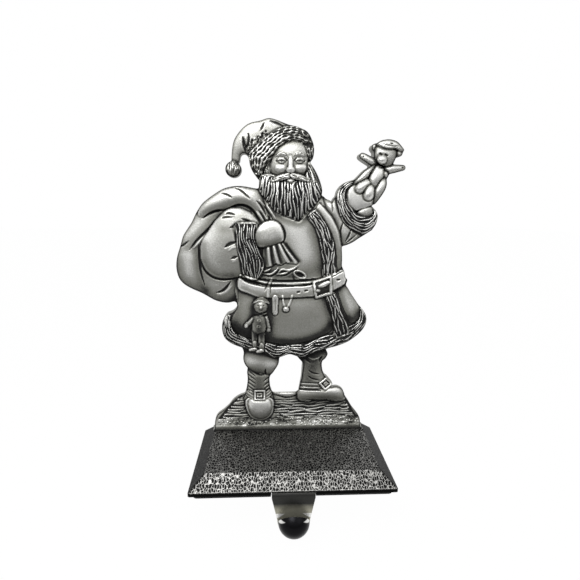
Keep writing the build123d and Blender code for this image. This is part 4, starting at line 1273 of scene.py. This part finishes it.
        # The soft path strokes below paint highlights on the upper arm and the mitten's palm.
        lay, paint_light_and_patina, carve, fur = self.relief.lay, self.relief.paint_light_and_patina, self.relief.carve, self.relief.fur
        lay(oval((36, 128.8), 3.0, 3.0), 5.0, low=4.0)
        lay([(17.5, 137), (20, 134.9), (22.5, 133.4), (24.6, 136.5), (30, 133), (37, 125), (44, 120),
             (43, 118.6), (39.6, 116.4), (36.8, 114.7), (33.4, 112.5), (28.6, 110.9), (27.6, 113.5),
             (26.4, 119.6), (23.4, 126), (20, 130)], 7.8, low=5.2, full=0.3)
        carve([(22.6, 133.2), (23, 130.4), (22.8, 128.4)], 0.8, 0.5, 0.7)
        carve([(33, 119.6), (31.8, 116.6), (30, 113)], 1.4, 0.9)
        carve([(36, 117), (33, 114.6), (30.4, 112.4)], 1.2, 0.8)
        carve([(28.8, 123.4), (27.4, 119.5), (27.9, 114.6)], 1.2, 0.8)
        lay([(36, 127.6), (38.4, 131), (41.6, 132), (44.4, 131), (45.2, 128.6), (43.4, 126), (39.6, 125.6)],
            7.6, low=6.0, full=0.4)
        paint_light_and_patina([(21, 134), (25, 128), (29, 120)], 6.0, -0.3)
        paint_light_and_patina([(36, 116), (40, 119)], 4.0, -0.14)
        lay([(31.4, 142.2), (34, 143), (40, 146), (46, 146), (50.6, 144), (50.8, 141), (49.4, 138.6),
             (47.2, 135.4), (45, 132.8), (42, 131.6), (38.4, 130.4), (34.8, 129.4), (32, 132), (30.4, 135.6),
             (30.3, 139)], 8.6, low=6.4, full=0.2)
        paint_light_and_patina([(32.6, 140), (33.4, 134), (38, 133.4)], 6.5, -0.56)
        paint_light_and_patina([(35, 130.8), (40, 131.8), (44, 132.8)], 3.6, -0.24)
        outer = [(35, 145.3), (31.4, 144.6), (28.1, 142.8), (25.8, 140), (24.9, 136.4), (25.3, 131.6),
                 (27.8, 125), (30.6, 121.6), (35.2, 118), (39.2, 116.9), (43, 118.7), (45.8, 121.8),
                 (47, 126.2), (46.3, 128.6), (44.8, 130.6)]
        inner = [(33.8, 143), (31.7, 141.4), (30.4, 138.8), (30.4, 135.6), (31.6, 132.4), (34.4, 129.4),
                 (37, 127.2), (40.6, 126), (43.4, 126.6), (44.9, 128.4), (44.4, 130)]
        lay(outer + inner[::-1], 9.7, low=6.8, full=0.35, contour=0.9)
        fur(outer, inner, 6, 8.0, 0.58, 0.95, 41, sway=0.3, ground=1.0)

    def draw_bear(self) -> None:
        """Draw the toy bear that the mitten holds up."""
        lay, carve = self.relief.lay, self.relief.carve
        lay(limb((45, 153), 1.9, (50.5, 151.4), 1.9), 5.6, low=4.2)
        lay(oval((42, 147.2), 1.8, 1.8), 5.6, low=4.2)
        lay(limb((43.8, 154.2), 2.0, (38.2, 157.3), 1.7), 9.0, low=6.4)
        lay(limb((52, 150.6), 2.4, (59.4, 151.4), 1.5), 9.0, low=6.4)
        lay([(49.2, 150.4), (51.6, 149.6), (52.2, 147.6), (50.8, 145.6), (49.2, 146.4)], 8.4, low=4.8)
        lay([(46, 152.4), (49.2, 151), (49.6, 147), (47.6, 142.6), (45, 140.6), (41.6, 141.6), (42, 146),
             (43.6, 149.8)], 9.6, low=6.8)
        lay([(45, 153.6), (42, 151.8), (39.5, 150.2), (36.5, 147.2), (34.2, 144.7), (33.4, 142.8),
             (35.6, 142.9), (38.5, 144.3), (40.6, 145.8), (42.4, 148.3), (44.3, 151)], 9.2, low=6.0)
        lay([(50.4, 146.4), (51.3, 144), (51, 141.4), (49.8, 138.8), (47.5, 135.4), (45.4, 132.9),
             (44.1, 132.7), (44.5, 136), (44.3, 139), (45.8, 142), (48, 145.4)], 9.3, low=6.2)
        lay(limb((40.6, 143.2), 2.3, (37.3, 140.8), 2.7), 10.7, low=7.2, contour=1.0)
        lay(limb((42.6, 140.4), 2.3, (41.8, 137.2), 2.8), 11.0, low=7.4, contour=1.0)
        lay(oval((44.7, 161.6), 1.9, 2.0), 9.2, low=6.6)
        lay(oval((57.2, 158.8), 1.9, 1.9), 9.2, low=6.6)
        lay([(44.3, 160), (45.5, 162.6), (49, 163.6), (54, 163), (56.2, 159.4), (55.3, 155.6), (53.4, 152.5),
             (51, 152.1), (47, 153.2), (44.5, 155.6)], 10.1, low=7.0, contour=1.0)
        lay([(45.2, 163.1), (47.6, 165), (52, 165.7), (56, 164.6), (58.4, 162.3), (60, 160), (57.6, 159.6),
             (55, 160.9), (52.4, 160.6), (49.4, 161), (46.8, 162)], 10.6, low=7.6, full=0.4, contour=1.0)
        carve([(47.4, 162.9), (49.8, 161.9), (52.5, 161.6), (55, 161.9), (57.8, 161)], 0.8, -0.5, 0.0)
        carve([(47.8, 163.7), (52.4, 162.6), (57.4, 162.2)], 0.5, 0.3, 0.6)
        carve([(52.4, 163.9), (54, 163.2)], 0.9, 0.6)
        lay(oval((48.5, 155.6), 2.6, 2.4), 11.6, low=8.4, contour=1.0)
        for eye in ((47.6, 158.3), (50.6, 157.8)):
            carve([(eye[0] - 0.4, eye[1] + 0.2), (eye[0] + 0.4, eye[1] - 0.2)], 1.3, 0.7, taper=False)
        carve([(38.6, 157.1), (38.9, 156.9)], 0.9, 0.5, taper=False)
        carve([(59.2, 151.5), (59.5, 151.3)], 1.0, 0.5, taper=False)
        carve([(47, 151.6), (49, 151.4), (51.6, 151.9)], 1.0, 0.7)

    def draw_doll(self) -> None:
        """Draw the plain rag doll that hangs from the belt."""
        # The soft path strokes below paint shade round the doll and darken its body, arms, legs, feet, face
        # and cap.
        lay, paint_light_and_patina, carve = self.relief.lay, self.relief.paint_light_and_patina, self.relief.carve
        paint_light_and_patina([(-22.6, 67), (-19, 74), (-14, 80), (-10, 74), (-9.6, 64)], 4.0, 0.25)
        for first, last in (((-18.4, 72), (-22.8, 68.4)), ((-12.4, 72), (-10.8, 66))):
            lay(limb(first, 1.2, last, 1.0), 1.6, settle=2.0, contour=0.9)
            lay(oval((last[0] - 0.2, last[1] - 0.6), 1.2, 1.1), 0.8, settle=1.0, contour=0.8)
        for x, foot in ((-18.6, 55.4), (-14.8, 54.4)):
            lay(limb((x + 0.2, 65), 1.6, (x, foot + 4), 1.5), 1.7, settle=2.0, full=0.4, contour=0.9)
            paint_light_and_patina([(x + 0.2, 65), (x + 0.1, 60)], 3.0, 0.5)
            lay(limb((x, foot + 3), 1.1, (x, foot), 1.1), 1.3, settle=2.0, full=0.4, contour=0.9)
            paint_light_and_patina([(x, foot + 3.4), (x, foot + 0.6)], 2.4, 0.4)
            lay(oval((x - 0.9, foot - 0.7), 2.3, 1.0, 8), 1.9, settle=2.0, contour=0.9)
        lay([(-19.8, 66), (-19.2, 71), (-18, 73.4), (-14, 73.4), (-12.6, 71), (-12.4, 66), (-14.2, 63.8),
             (-18, 63.8)], 2.2, settle=2.0, contour=1.0)
        paint_light_and_patina([(-16, 72), (-16.1, 65)], 6.5, 0.72)
        for button in ((-16.1, 70.6), (-16.4, 67.4)):
            carve([(button[0] - 0.5, button[1]), (button[0] + 0.5, button[1])], 1.7, -0.4, 0.0, taper=False)
            carve([button, (button[0] + 0.2, button[1])], 0.9, 0.6, taper=False)
        lay(oval((-15, 78.4), 3.6, 3.4), 2.7, settle=2.0, contour=1.0)
        paint_light_and_patina([(-17.6, 78.4), (-15, 77.6), (-12.4, 78.4)], 5.0, 0.6)
        carve([(-18.2, 74.7), (-15, 74), (-12, 74.8)], 1.6, -0.9, 0.0)
        lay([(-19.2, 80.2), (-17.2, 82.8), (-14.4, 83.6), (-11.6, 82.4), (-10.2, 79.8), (-13, 81),
             (-16, 81.4)], 1.0, settle=1.0, contour=0.9)
        paint_light_and_patina([(-17.4, 82.4), (-12, 82.2)], 2.4, 0.4)
        carve([(-19, 80.4), (-15.6, 81.6), (-10.6, 80)], 0.9, -0.5, 0.0)
        for eye in ((-16.6, 79), (-13.6, 79)):
            carve([eye, (eye[0] + 0.2, eye[1])], 1.0, 0.5, taper=False)
        carve([(-16.4, 76.8), (-15, 76.3), (-13.6, 76.8)], 0.6, 0.4, 0.9)
        lay(oval((-15.1, 77.9), 0.7, 0.7), 0.7, settle=0.7, contour=0.2)
        for path in ([(-18.8, 71.6), (-22, 69)], [(-12.2, 71.6), (-11, 67)], [(-18.6, 57), (-14.8, 56)]):
            paint_light_and_patina(path, 2.6, 0.26)

    def draw_cap(self) -> None:
        """Draw the drooping cap, its leaf sprig, pompom and fur brim."""
        # The soft path strokes below paint a faint highlight on the crown, shade in the cap's fold and shade
        # under the pompom.
        lay, paint_light_and_patina, carve, fur = self.relief.lay, self.relief.paint_light_and_patina, self.relief.carve, self.relief.fur
        lay([(-29, 154), (-28.9, 160), (-27.6, 165.2), (-24.2, 169.9), (-20, 173.1), (-14.5, 174.4),
             (-10.2, 175.7), (-6.3, 174.9), (-0.4, 172.7), (6, 171), (10, 167), (11, 158), (5, 150),
             (-5, 148), (-14, 148), (-18.5, 151), (-20.3, 155.4), (-21.4, 157.8), (-23.1, 158.6),
             (-24.8, 157.3), (-25.6, 154)], 7.0, low=4.6, full=0.36)
        paint_light_and_patina([(-27, 157), (-26.4, 163), (-22.4, 168.6), (-14, 172.4), (-6, 172.6)], 6.0, -0.04)
        paint_light_and_patina([(-22.4, 164), (-21.4, 160)], 3.0, 0.25)
        carve([(-23.3, 166.4), (-22.8, 163), (-22, 158.8)], 2.0, 1.2)
        carve([(-20.5, 168.2), (-20.4, 165), (-21.2, 161)], 1.5, 1.0)
        carve([(-9.4, 174.2), (-6, 173.2), (-2.2, 171.4)], 1.3, 0.9)
        carve([(-12.4, 173.4), (-13.2, 171.8), (-14.4, 169.4)], 1.2, 0.9)
        self.draw_sprig()
        lay(oval((-28.5, 150.4), 4.1, 4.1), 8.0, low=4.6, contour=0.9)
        paint_light_and_patina([(-31.6, 148.4), (-28.4, 147), (-25.4, 148.4)], 4.0, 0.42)
        fur([(-29.5, 154.6), (-32.2, 151.8), (-32, 148.6), (-29.4, 146.4)],
            [(-27.5, 154.6), (-24.8, 151.8), (-25, 148.6), (-27.6, 146.4)], 7, 3.8, 0.7, 0.7, 52, sway=0.3)
        upper = [(-15.2, 145), (-19, 150.1), (-20.2, 154.4), (-19.9, 158.4), (-16.6, 162.2), (-10.8, 166.9),
                 (-6.3, 170), (-0.4, 171.8), (5.5, 171.1), (9.8, 168.9), (12.3, 164.4), (13.1, 160.2),
                 (12.5, 156), (10.8, 154)]
        under = [(-13.8, 145.4), (-13.4, 149), (-10.8, 153.2), (-7.2, 157.8), (-4, 161.2), (-0.4, 163.6),
                 (4, 164.4), (7.2, 163.3), (8.9, 160.6), (9.8, 157), (9.8, 154.4)]
        lay(upper + under[::-1], 9.6, low=6.6, full=0.36, contour=0.8)
        fur(upper, under, 6, 3.4, 1.24, 1.0, 53, sway=0.12, ink=1.0)

    def draw_sprig(self) -> None:
        """Draw the sprig of small leaves above the cap's brim."""
        relief = self.relief
        chance = np.random.default_rng(51)
        foot, tip = np.array((-20.6, 159.4)), np.array((-10.8, 168.4))
        ahead = (tip - foot) / np.hypot(*(tip - foot))
        side = np.array((-ahead[1], ahead[0]))
        relief.paint_light_and_patina([tuple(foot + side), tuple(tip + side)], 3.6, 0.18)
        for leaf in range(60):
            share = (leaf + 0.5) / 60
            middle = foot + (tip - foot) * share + side * chance.uniform(-0.9, 3.2 - 1.6 * share)
            turn = chance.uniform(0.0, math.pi)
            out = 0.75 * np.array((math.cos(turn), math.sin(turn)))
            raised = leaf % 4 == 0
            relief.carve([tuple(middle - out), tuple(middle + out)], 0.8, -0.4 if raised else 0.6,
                         0.0 if raised else 0.95, haze=0.0)

    def draw_face(self) -> None:
        """Draw a plain, calm old man's face of ordinary proportions between the brim and the beard."""
        lay, paint_light_and_patina, carve, fur = self.relief.lay, self.relief.paint_light_and_patina, self.relief.carve, self.relief.fur
        middle = 1.0
        lay([(-12.6, 147), (-12, 152), (-9.4, 155), (-8.6, 150), (-9, 146)], 7.6, low=6.2, full=0.4)
        fur([(-12.4, 152), (-12.8, 149.5), (-12.6, 146.6)], [(-9.2, 154), (-9, 150), (-9.2, 146.6)], 4, 5.0,
            0.7, 0.6, 61)
        lay([(-9.2, 151), (-8.4, 156), (-5.4, 161), (-0.6, 163.8), (4.2, 164.4), (7.4, 163), (9.2, 159),
             (9.9, 153), (8.6, 147.6), (4.5, 144), (-2.5, 144), (-7.4, 147)], 8.8, low=6.6, full=0.4,
            contour=0.8)
        paint_light_and_patina([(-4, 160), (1, 161), (6, 160)], 6.0, -0.03)
        for side in (-1, 1):
            def at(out: float, z: float) -> Point:
                """Return a place on one side of the face."""
                return middle + side * out, z

            carve([at(2.0, 155.0), at(4.6, 155.2), at(7.2, 154.6)], 3.4, 0.9, 0.42)
            lay(oval(at(5.4, 151.0), 3.1, 2.3), 0.9, settle=1.5, contour=0.0)
            lay(oval(at(4.7, 154.9), 2.3, 1.5), 0.9, settle=1.0, contour=0.4)
            paint_light_and_patina([at(3.0, 154.2), at(6.4, 154.2)], 1.6, 0.3)
            carve([at(2.6, 154.3), at(4.7, 155.0), at(7.0, 154.2)], 0.9, 0.4, 0.9)
            carve([at(4.3, 154.5), at(4.9, 154.5)], 1.0, 0.25, 0.85, taper=False)
            carve([at(3.0, 153.6), at(4.7, 153.2), at(6.6, 153.6)], 0.6, 0.25, 0.55)
            carve([at(1.8, 157.4), at(4.6, 158.6), at(8, 157.0)], 1.7, -0.8, 0.0)
            fur([at(1.8, 157.9), at(4.6, 159.1), at(8, 157.5)],
                [at(1.8, 156.9), at(4.6, 158.0), at(8, 156.5)], 2, 1.8, 0.55, 0.35, 62 + side, ink=0.7)
        lay([(middle - 0.9, 157), (middle + 0.9, 157), (middle + 1.2, 152.5), (middle + 2.3, 150.2),
             (middle + 1.6, 148.6), (middle, 148.1), (middle - 1.6, 148.6), (middle - 2.3, 150.2),
             (middle - 1.2, 152.5)], 1.9, settle=2.5, full=0.6, contour=0.35)

    def draw_beard(self) -> None:
        """Draw the full beard and the moustache over it."""
        lay, paint_light_and_patina, carve, fur = self.relief.lay, self.relief.paint_light_and_patina, self.relief.carve, self.relief.fur
        lay([(-14.2, 147.4), (-15.3, 144), (-15.2, 139.7), (-12.8, 136.1), (-9.9, 132.4), (-7.2, 129),
             (-2, 126.6), (2, 125.4), (5.4, 124.1), (8.7, 127.8), (12.4, 130.4), (15, 134.2), (17.3, 138),
             (17.2, 141.4), (15.6, 146.2), (13.2, 150.8), (10.4, 154.2), (9.6, 150.5), (8.4, 147.4),
             (4.6, 145.2), (1, 144.8), (-3, 145.2), (-7.4, 147.6), (-11, 148)], 10.5, low=7.2, full=0.36,
            contour=1.0)
        crown = [(-14.4, 146.6), (-10.6, 147.2), (-6.6, 146.4), (-2.4, 145), (1.2, 144.4), (4.8, 145),
                 (8.4, 147.4), (10.4, 151), (11.2, 153.4)]
        hem = [(-15.2, 140.2), (-13, 136.4), (-9.9, 132.4), (-6.4, 128.6), (-1, 126.2), (5.4, 124.2),
               (10, 128.6), (14.4, 133.2), (17.2, 139)]
        paint_light_and_patina([(-14.6, 145), (-13.4, 139), (-9.6, 133), (-4, 128)], 3.6, 0.2)
        fur(crown, hem, 23, 11.0, 0.74, 1.0, 71, Flow.ACROSS, sway=0.22, ground=1.0)
        for strand in ([(10.2, 153), (12.4, 149), (14.6, 143)], [(11.5, 152.6), (13.8, 148.4), (16, 142.6)],
                       [(9.6, 150.4), (11.4, 146.8), (13.4, 141.4)], [(12.6, 151), (15, 146.4), (16.8, 141)]):
            carve(strand, 0.7, 0.6, 1.0, haze=0.0)
        middle = 1.0
        lay([(middle - 2.2, 145.2), (middle, 145.9), (middle + 2.2, 145.2), (middle, 143.6)], 0.9, settle=2.0,
            contour=0.6)
        for side in (-1, 1):
            points = [(0.0, 148.1), (2.6, 148.3), (5.6, 147.6), (8.2, 146.2), (9.8, 144.2), (7.2, 144.6),
                      (3.8, 145.1), (0.4, 146.2)]
            lay([(middle + side * out, z) for out, z in points], 1.5, settle=2.5, full=0.45, contour=0.8)
            upper = [(middle + side * out, z) for out, z in ((0.3, 147.6), (4.6, 147.4), (9, 145))]
            lower = [(middle + side * out, z) for out, z in ((0.5, 146.6), (4.2, 145.7), (8.6, 144.4))]
            fur(upper, lower, 2, 4.0, 0.7, 0.5, 73 + side, sway=0.6, ink=0.85)

    def build(self) -> bpy.types.Object:
        """Draw the relief and make its casting.

        Returns:
            The casting, which takes the place of the figure's plain solid.
        """
        for draw in (self.draw_ground, self.draw_legs, self.draw_sack, self.draw_coat, self.draw_roll,
                     self.draw_raised_arm, self.draw_bear, self.draw_near_arm, self.draw_belt, self.draw_doll,
                     self.draw_cap, self.draw_face, self.draw_beard):
            draw()
        mesh = self.trimmed_sheet()
        self.close_back(mesh)
        self.set_depths(mesh)
        casting = new_object("figure_casting", mesh)
        LOG.info("figure: %d faces", len(casting.data.polygons))
        return casting

    def trimmed_sheet(self) -> bmesh.types.BMesh:
        """Make the flat sheet, cut along the drawn outline.

        Returns:
            The sheet, whose points know their cells of the grid.
        """
        relief = self.relief
        rows, columns = relief.height.shape
        slopes = np.gradient(relief.cover, relief.pitch)
        steep = np.maximum(np.hypot(slopes[1], slopes[0]), self.rim_slope)
        step_z, step_x = ((-relief.cover * slope / steep ** 2).ravel() for slope in slopes)
        inside = relief.cover.ravel() > -self.trim_share * relief.pitch
        mesh = bmesh.new()
        bmesh.ops.create_grid(mesh, x_segments=columns - 1, y_segments=rows - 1, size=0.5)
        for name in ("patina_and_painted_light", "ground", "strand"):
            mesh.verts.layers.float.new(name)
        cells = mesh.verts.layers.int.new("cell")
        for vert in mesh.verts:
            column, row = round((vert.co.x + 0.5) * (columns - 1)), round((vert.co.y + 0.5) * (rows - 1))
            vert[cells] = row * columns + column
        outside = [face for face in mesh.faces if not all(inside[vert[cells]] for vert in face.verts)]
        bmesh.ops.delete(mesh, geom=outside, context="FACES")
        rim = []
        for vert in mesh.verts:
            cell = vert[cells]
            across, up = relief.x[cell % columns], relief.z[cell // columns]
            if vert.is_boundary and cell >= columns:
                across, up = across + step_x[cell], up + step_z[cell]
                rim.append(vert)
            vert.co = (across, 0.0, up)
        self.smooth_rim(rim)
        return mesh

    def smooth_rim(self, rim: list[bmesh.types.BMVert]) -> None:
        """Even out the steps along the outline.

        Args:
            rim: The outline's points.
        """
        for _ in range(self.rim_rounds):
            places = []
            for vert in rim:
                ends = [edge.other_vert(vert).co for edge in vert.link_edges if edge.is_boundary]
                places.append(vert.co * 0.5 + sum(ends, Vector()) * (0.5 / len(ends)))
            for vert, place in zip(rim, places):
                vert.co = place

    def close_back(self, mesh: bmesh.types.BMesh) -> None:
        """Close the sheet with walls and a back: the front lies at y 0, the back at 1 and a ring at 0.5.

        Args:
            mesh: The sheet.
        """
        columns = len(self.relief.x)
        cells = mesh.verts.layers.int["cell"]
        copy = bmesh.ops.extrude_face_region(mesh, geom=list(mesh.faces), use_keep_orig=True)["geom"]
        faces, edges, verts = ([item for item in copy if isinstance(item, kind)] for kind in (
            bmesh.types.BMFace, bmesh.types.BMEdge, bmesh.types.BMVert))
        bmesh.ops.translate(mesh, verts=verts, vec=(0.0, 1.0, 0.0))
        spans = [edge for edge in mesh.edges if abs(edge.verts[0].co.y - edge.verts[1].co.y) > 0.5]
        ring = bmesh.ops.subdivide_edges(mesh, edges=spans, cuts=1)["geom_inner"]
        for vert in (item for item in ring if isinstance(item, bmesh.types.BMVert)):
            ends = [edge.other_vert(vert) for edge in vert.link_edges]
            vert[cells] = next(end[cells] for end in ends if end.co.y < 0.25)
        bmesh.ops.recalc_face_normals(mesh, faces=mesh.faces)
        back = set(faces)
        for face in mesh.faces:
            face.smooth = face not in back
        merged = []
        for edge in edges:
            edge.smooth = False
            if back.issuperset(edge.link_faces):
                (row, column), (other_row, _) = (divmod(vert[cells], columns) for vert in edge.verts)
                if (row if row == other_row else column) % self.back_block:
                    merged.append(edge)
        bmesh.ops.dissolve_edges(mesh, edges=merged, use_verts=True)

    def set_depths(self, mesh: bmesh.types.BMesh) -> None:
        """Move the points along their sight lines to their depths, and give them their patina with its
        painted shade and highlights.

        Args:
            mesh: The closed sheet.
        """
        relief = self.relief
        drawn = relief.cover > 0
        blackness = relief.patina_and_painted_light()
        patina_and_painted_light, height = (np.where(drawn, sheet, relief.blurred(sheet, self.rim_blur))
                          for sheet in (blackness, relief.height))
        height = np.clip(height, self.thinnest, self.thickest).ravel()
        sheets = {"patina_and_painted_light": patina_and_painted_light, "ground": relief.ground, "strand": relief.strand}
        layers = [(mesh.verts.layers.float[name], sheet.ravel(), self.back_tone if name == "patina_and_painted_light" else 0.0)
                  for name, sheet in sheets.items()]
        cells = mesh.verts.layers.int["cell"]
        (gap_left, gap_right), (gap_low, gap_high) = self.leg_gap
        for vert in mesh.verts:
            cell = vert[cells]
            across, layer, up = vert.co
            in_front, on_back = layer < 0.25, layer > 0.75
            if on_back:
                in_gap = gap_left < across < gap_right and gap_low < up < gap_high
                flare = np.interp(up, self.flare_heights, (self.foot_flare, self.foot_relief))
                depth, level = self.sight(0.0 if in_gap else flare), 0.0
            else:
                depth, level = self.sight(height[cell]), height[cell] * (1.0 if in_front else self.wall_share)
            for sheet, values, plain in layers:
                vert[sheet] = values[cell] if in_front else plain
            vert.co = (
                MM * (self.eye[0] + (across - self.eye[0]) * depth),
                MM * (self.back - level),
                MM * max(self.eye[2] + (up - self.eye[2]) * depth, self.seat),
            )
        bmesh.ops.triangulate(mesh, faces=[face for face in mesh.faces if len(face.verts) > 4])
        mesh.verts.layers.int.remove(cells)

    def dress(self, casting: bpy.types.Object) -> None:
        """Give the casting its finish and its place in the part.

        Args:
            casting: The casting.
        """
        casting.data.materials.append(self.finish.material())
        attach(casting, "root")
        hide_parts("figure")


def new_object(name: str, mesh: bmesh.types.BMesh) -> bpy.types.Object:
    """Turn a bmesh into an object in the scene.

    Args:
        name: The object's name.
        mesh: Its shape, which is freed.

    Returns:
        The object, at the origin.
    """
    data = bpy.data.meshes.new(name)
    mesh.to_mesh(data)
    mesh.free()
    thing = bpy.data.objects.new(name, data)
    bpy.context.scene.collection.objects.link(thing)
    return thing


@dataclass
class PlainParts:
    """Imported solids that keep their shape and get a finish."""

    finishes: dict[str, Any] = field(default_factory=lambda: {
        "base": DarkCasting(),
        "hook": DarkStrap(),
        "pad": BlackPad(),
        "figure_screws": ScrewSteel(),
        "hook_screws": ScrewSteel(),
    })

    def dress(self) -> None:
        """Put each finish on its solid."""
        for node, finish in self.finishes.items():
            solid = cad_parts[node]
            material = finish.material()
            for slot in solid.material_slots:
                slot.material = material
            LOG.info("%s: %s", node, material.name)


@dataclass(frozen=True)
class Lamp:
    """A square soft lamp that looks at the middle of the object, in metres and watts."""

    name: str
    place: Triple
    size: float
    power: float
    target: Triple = (0.0, 0.0, 0.08)

    def hang(self) -> None:
        """Hang the lamp in the scene."""
        data = bpy.data.lights.new(self.name, "AREA")
        data.size = self.size
        data.energy = self.power
        lamp = bpy.data.objects.new(self.name, data)
        lamp.location = self.place
        lamp.rotation_euler = (Vector(self.target) - Vector(self.place)).to_track_quat("-Z", "Y").to_euler()
        bpy.context.scene.collection.objects.link(lamp)


@dataclass
class Studio:
    """Camera, pale floor and soft light."""

    eye: Triple = EYE
    yaw: float = 2.474
    pitch: float = -9.29
    lens: float = 30.57
    sensor: float = 36.0
    clip: float = 0.01
    floor_height: float = -20.0
    floor_front: float = -100.0
    floor_size: float = 4000.0
    floor_grey: Colour = (0.8, 0.8, 0.8)
    white: Colour = (1.0, 1.0, 1.0)
    whiteness: float = 0.985
    backdrop_edge: Span = (0.1, 0.5)
    room_edge: Span = (-0.30, 0.35)
    room_low: float = 0.08
    room_rise: float = 0.85
    lamps: tuple[Lamp, ...] = (
        Lamp("key_lamp", (-0.11, -0.27, 0.37), 0.26, 1.42),
        Lamp("fill_lamp", (0.60, -0.50, 0.55), 0.6, 1.0),
    )

    def camera(self) -> None:
        """Set the camera at the photograph's viewpoint."""
        data = bpy.data.cameras.new("camera")
        data.lens = self.lens
        data.sensor_width = self.sensor
        data.clip_start = self.clip
        camera = bpy.data.objects.new("camera", data)
        camera.location = Vector(self.eye) * MM
        camera.rotation_euler = (math.radians(90 + self.pitch), 0.0, math.radians(-self.yaw))
        bpy.context.scene.collection.objects.link(camera)
        bpy.context.scene.camera = camera

    def floor(self) -> None:
        """Lay the floor, white to the camera and to gloss, and shaded a little under the object."""
        mesh = bmesh.new()
        bmesh.ops.create_grid(mesh, x_segments=1, y_segments=1, size=self.floor_size / 2)
        middle = (0.0, self.floor_front + self.floor_size / 2, self.floor_height)
        bmesh.ops.translate(mesh, verts=mesh.verts, vec=middle)
        bmesh.ops.scale(mesh, verts=mesh.verts, vec=(MM, MM, MM))
        floor = new_object("floor", mesh)
        material, tree = new_material("pale_floor")
        seen, glossy, through = tree.rays()
        shade = tree.node("ShaderNodeBsdfDiffuse", {}, {"Color": (*self.floor_grey, 1.0)})
        white = tree.node("ShaderNodeEmission", {}, {"Color": (*self.white, 1.0), "Strength": 1.0})
        factor = (seen + glossy + through) * self.whiteness
        mixed = tree.node("ShaderNodeMixShader", {}, {0: factor, 1: shade, 2: white})
        tree.node("ShaderNodeOutputMaterial", {}, {"Surface": mixed})
        floor.data.materials.append(material)

    def world(self) -> None:
        """Light the room: a white backdrop behind the object and a dimmer room in front of it."""
        world = bpy.data.worlds.new("room")
        world.use_nodes = True
        bpy.context.scene.world = world
        tree = NodeTree(world.node_tree)
        way = tree.node("ShaderNodeTexCoord", {}, {}, "Generated")
        back = tree.part(way, "Y").step(*self.backdrop_edge)
        level = self.room_low + tree.part(way, "Z").step(*self.room_edge) * self.room_rise
        seen, glossy, through = tree.rays()
        strength = level + (seen + (glossy + through) * back) * (1.0 - level)
        light = tree.node("ShaderNodeBackground", {}, {"Color": (*self.white, 1.0), "Strength": strength})
        tree.node("ShaderNodeOutputWorld", {}, {"Surface": light})

    def build(self) -> None:
        """Set up the whole studio."""
        self.camera()
        self.floor()
        self.world()
        for lamp in self.lamps:
            lamp.hang()
        bpy.context.scene.view_settings.view_transform = "Standard"


def main() -> None:
    """Build and dress every piece, in order."""
    logging.basicConfig(level=logging.INFO)
    Studio().build()
    figure = FigureCasting()
    figure.dress(figure.build())
    PlainParts().dress()


if __name__ == "__main__":
    main()
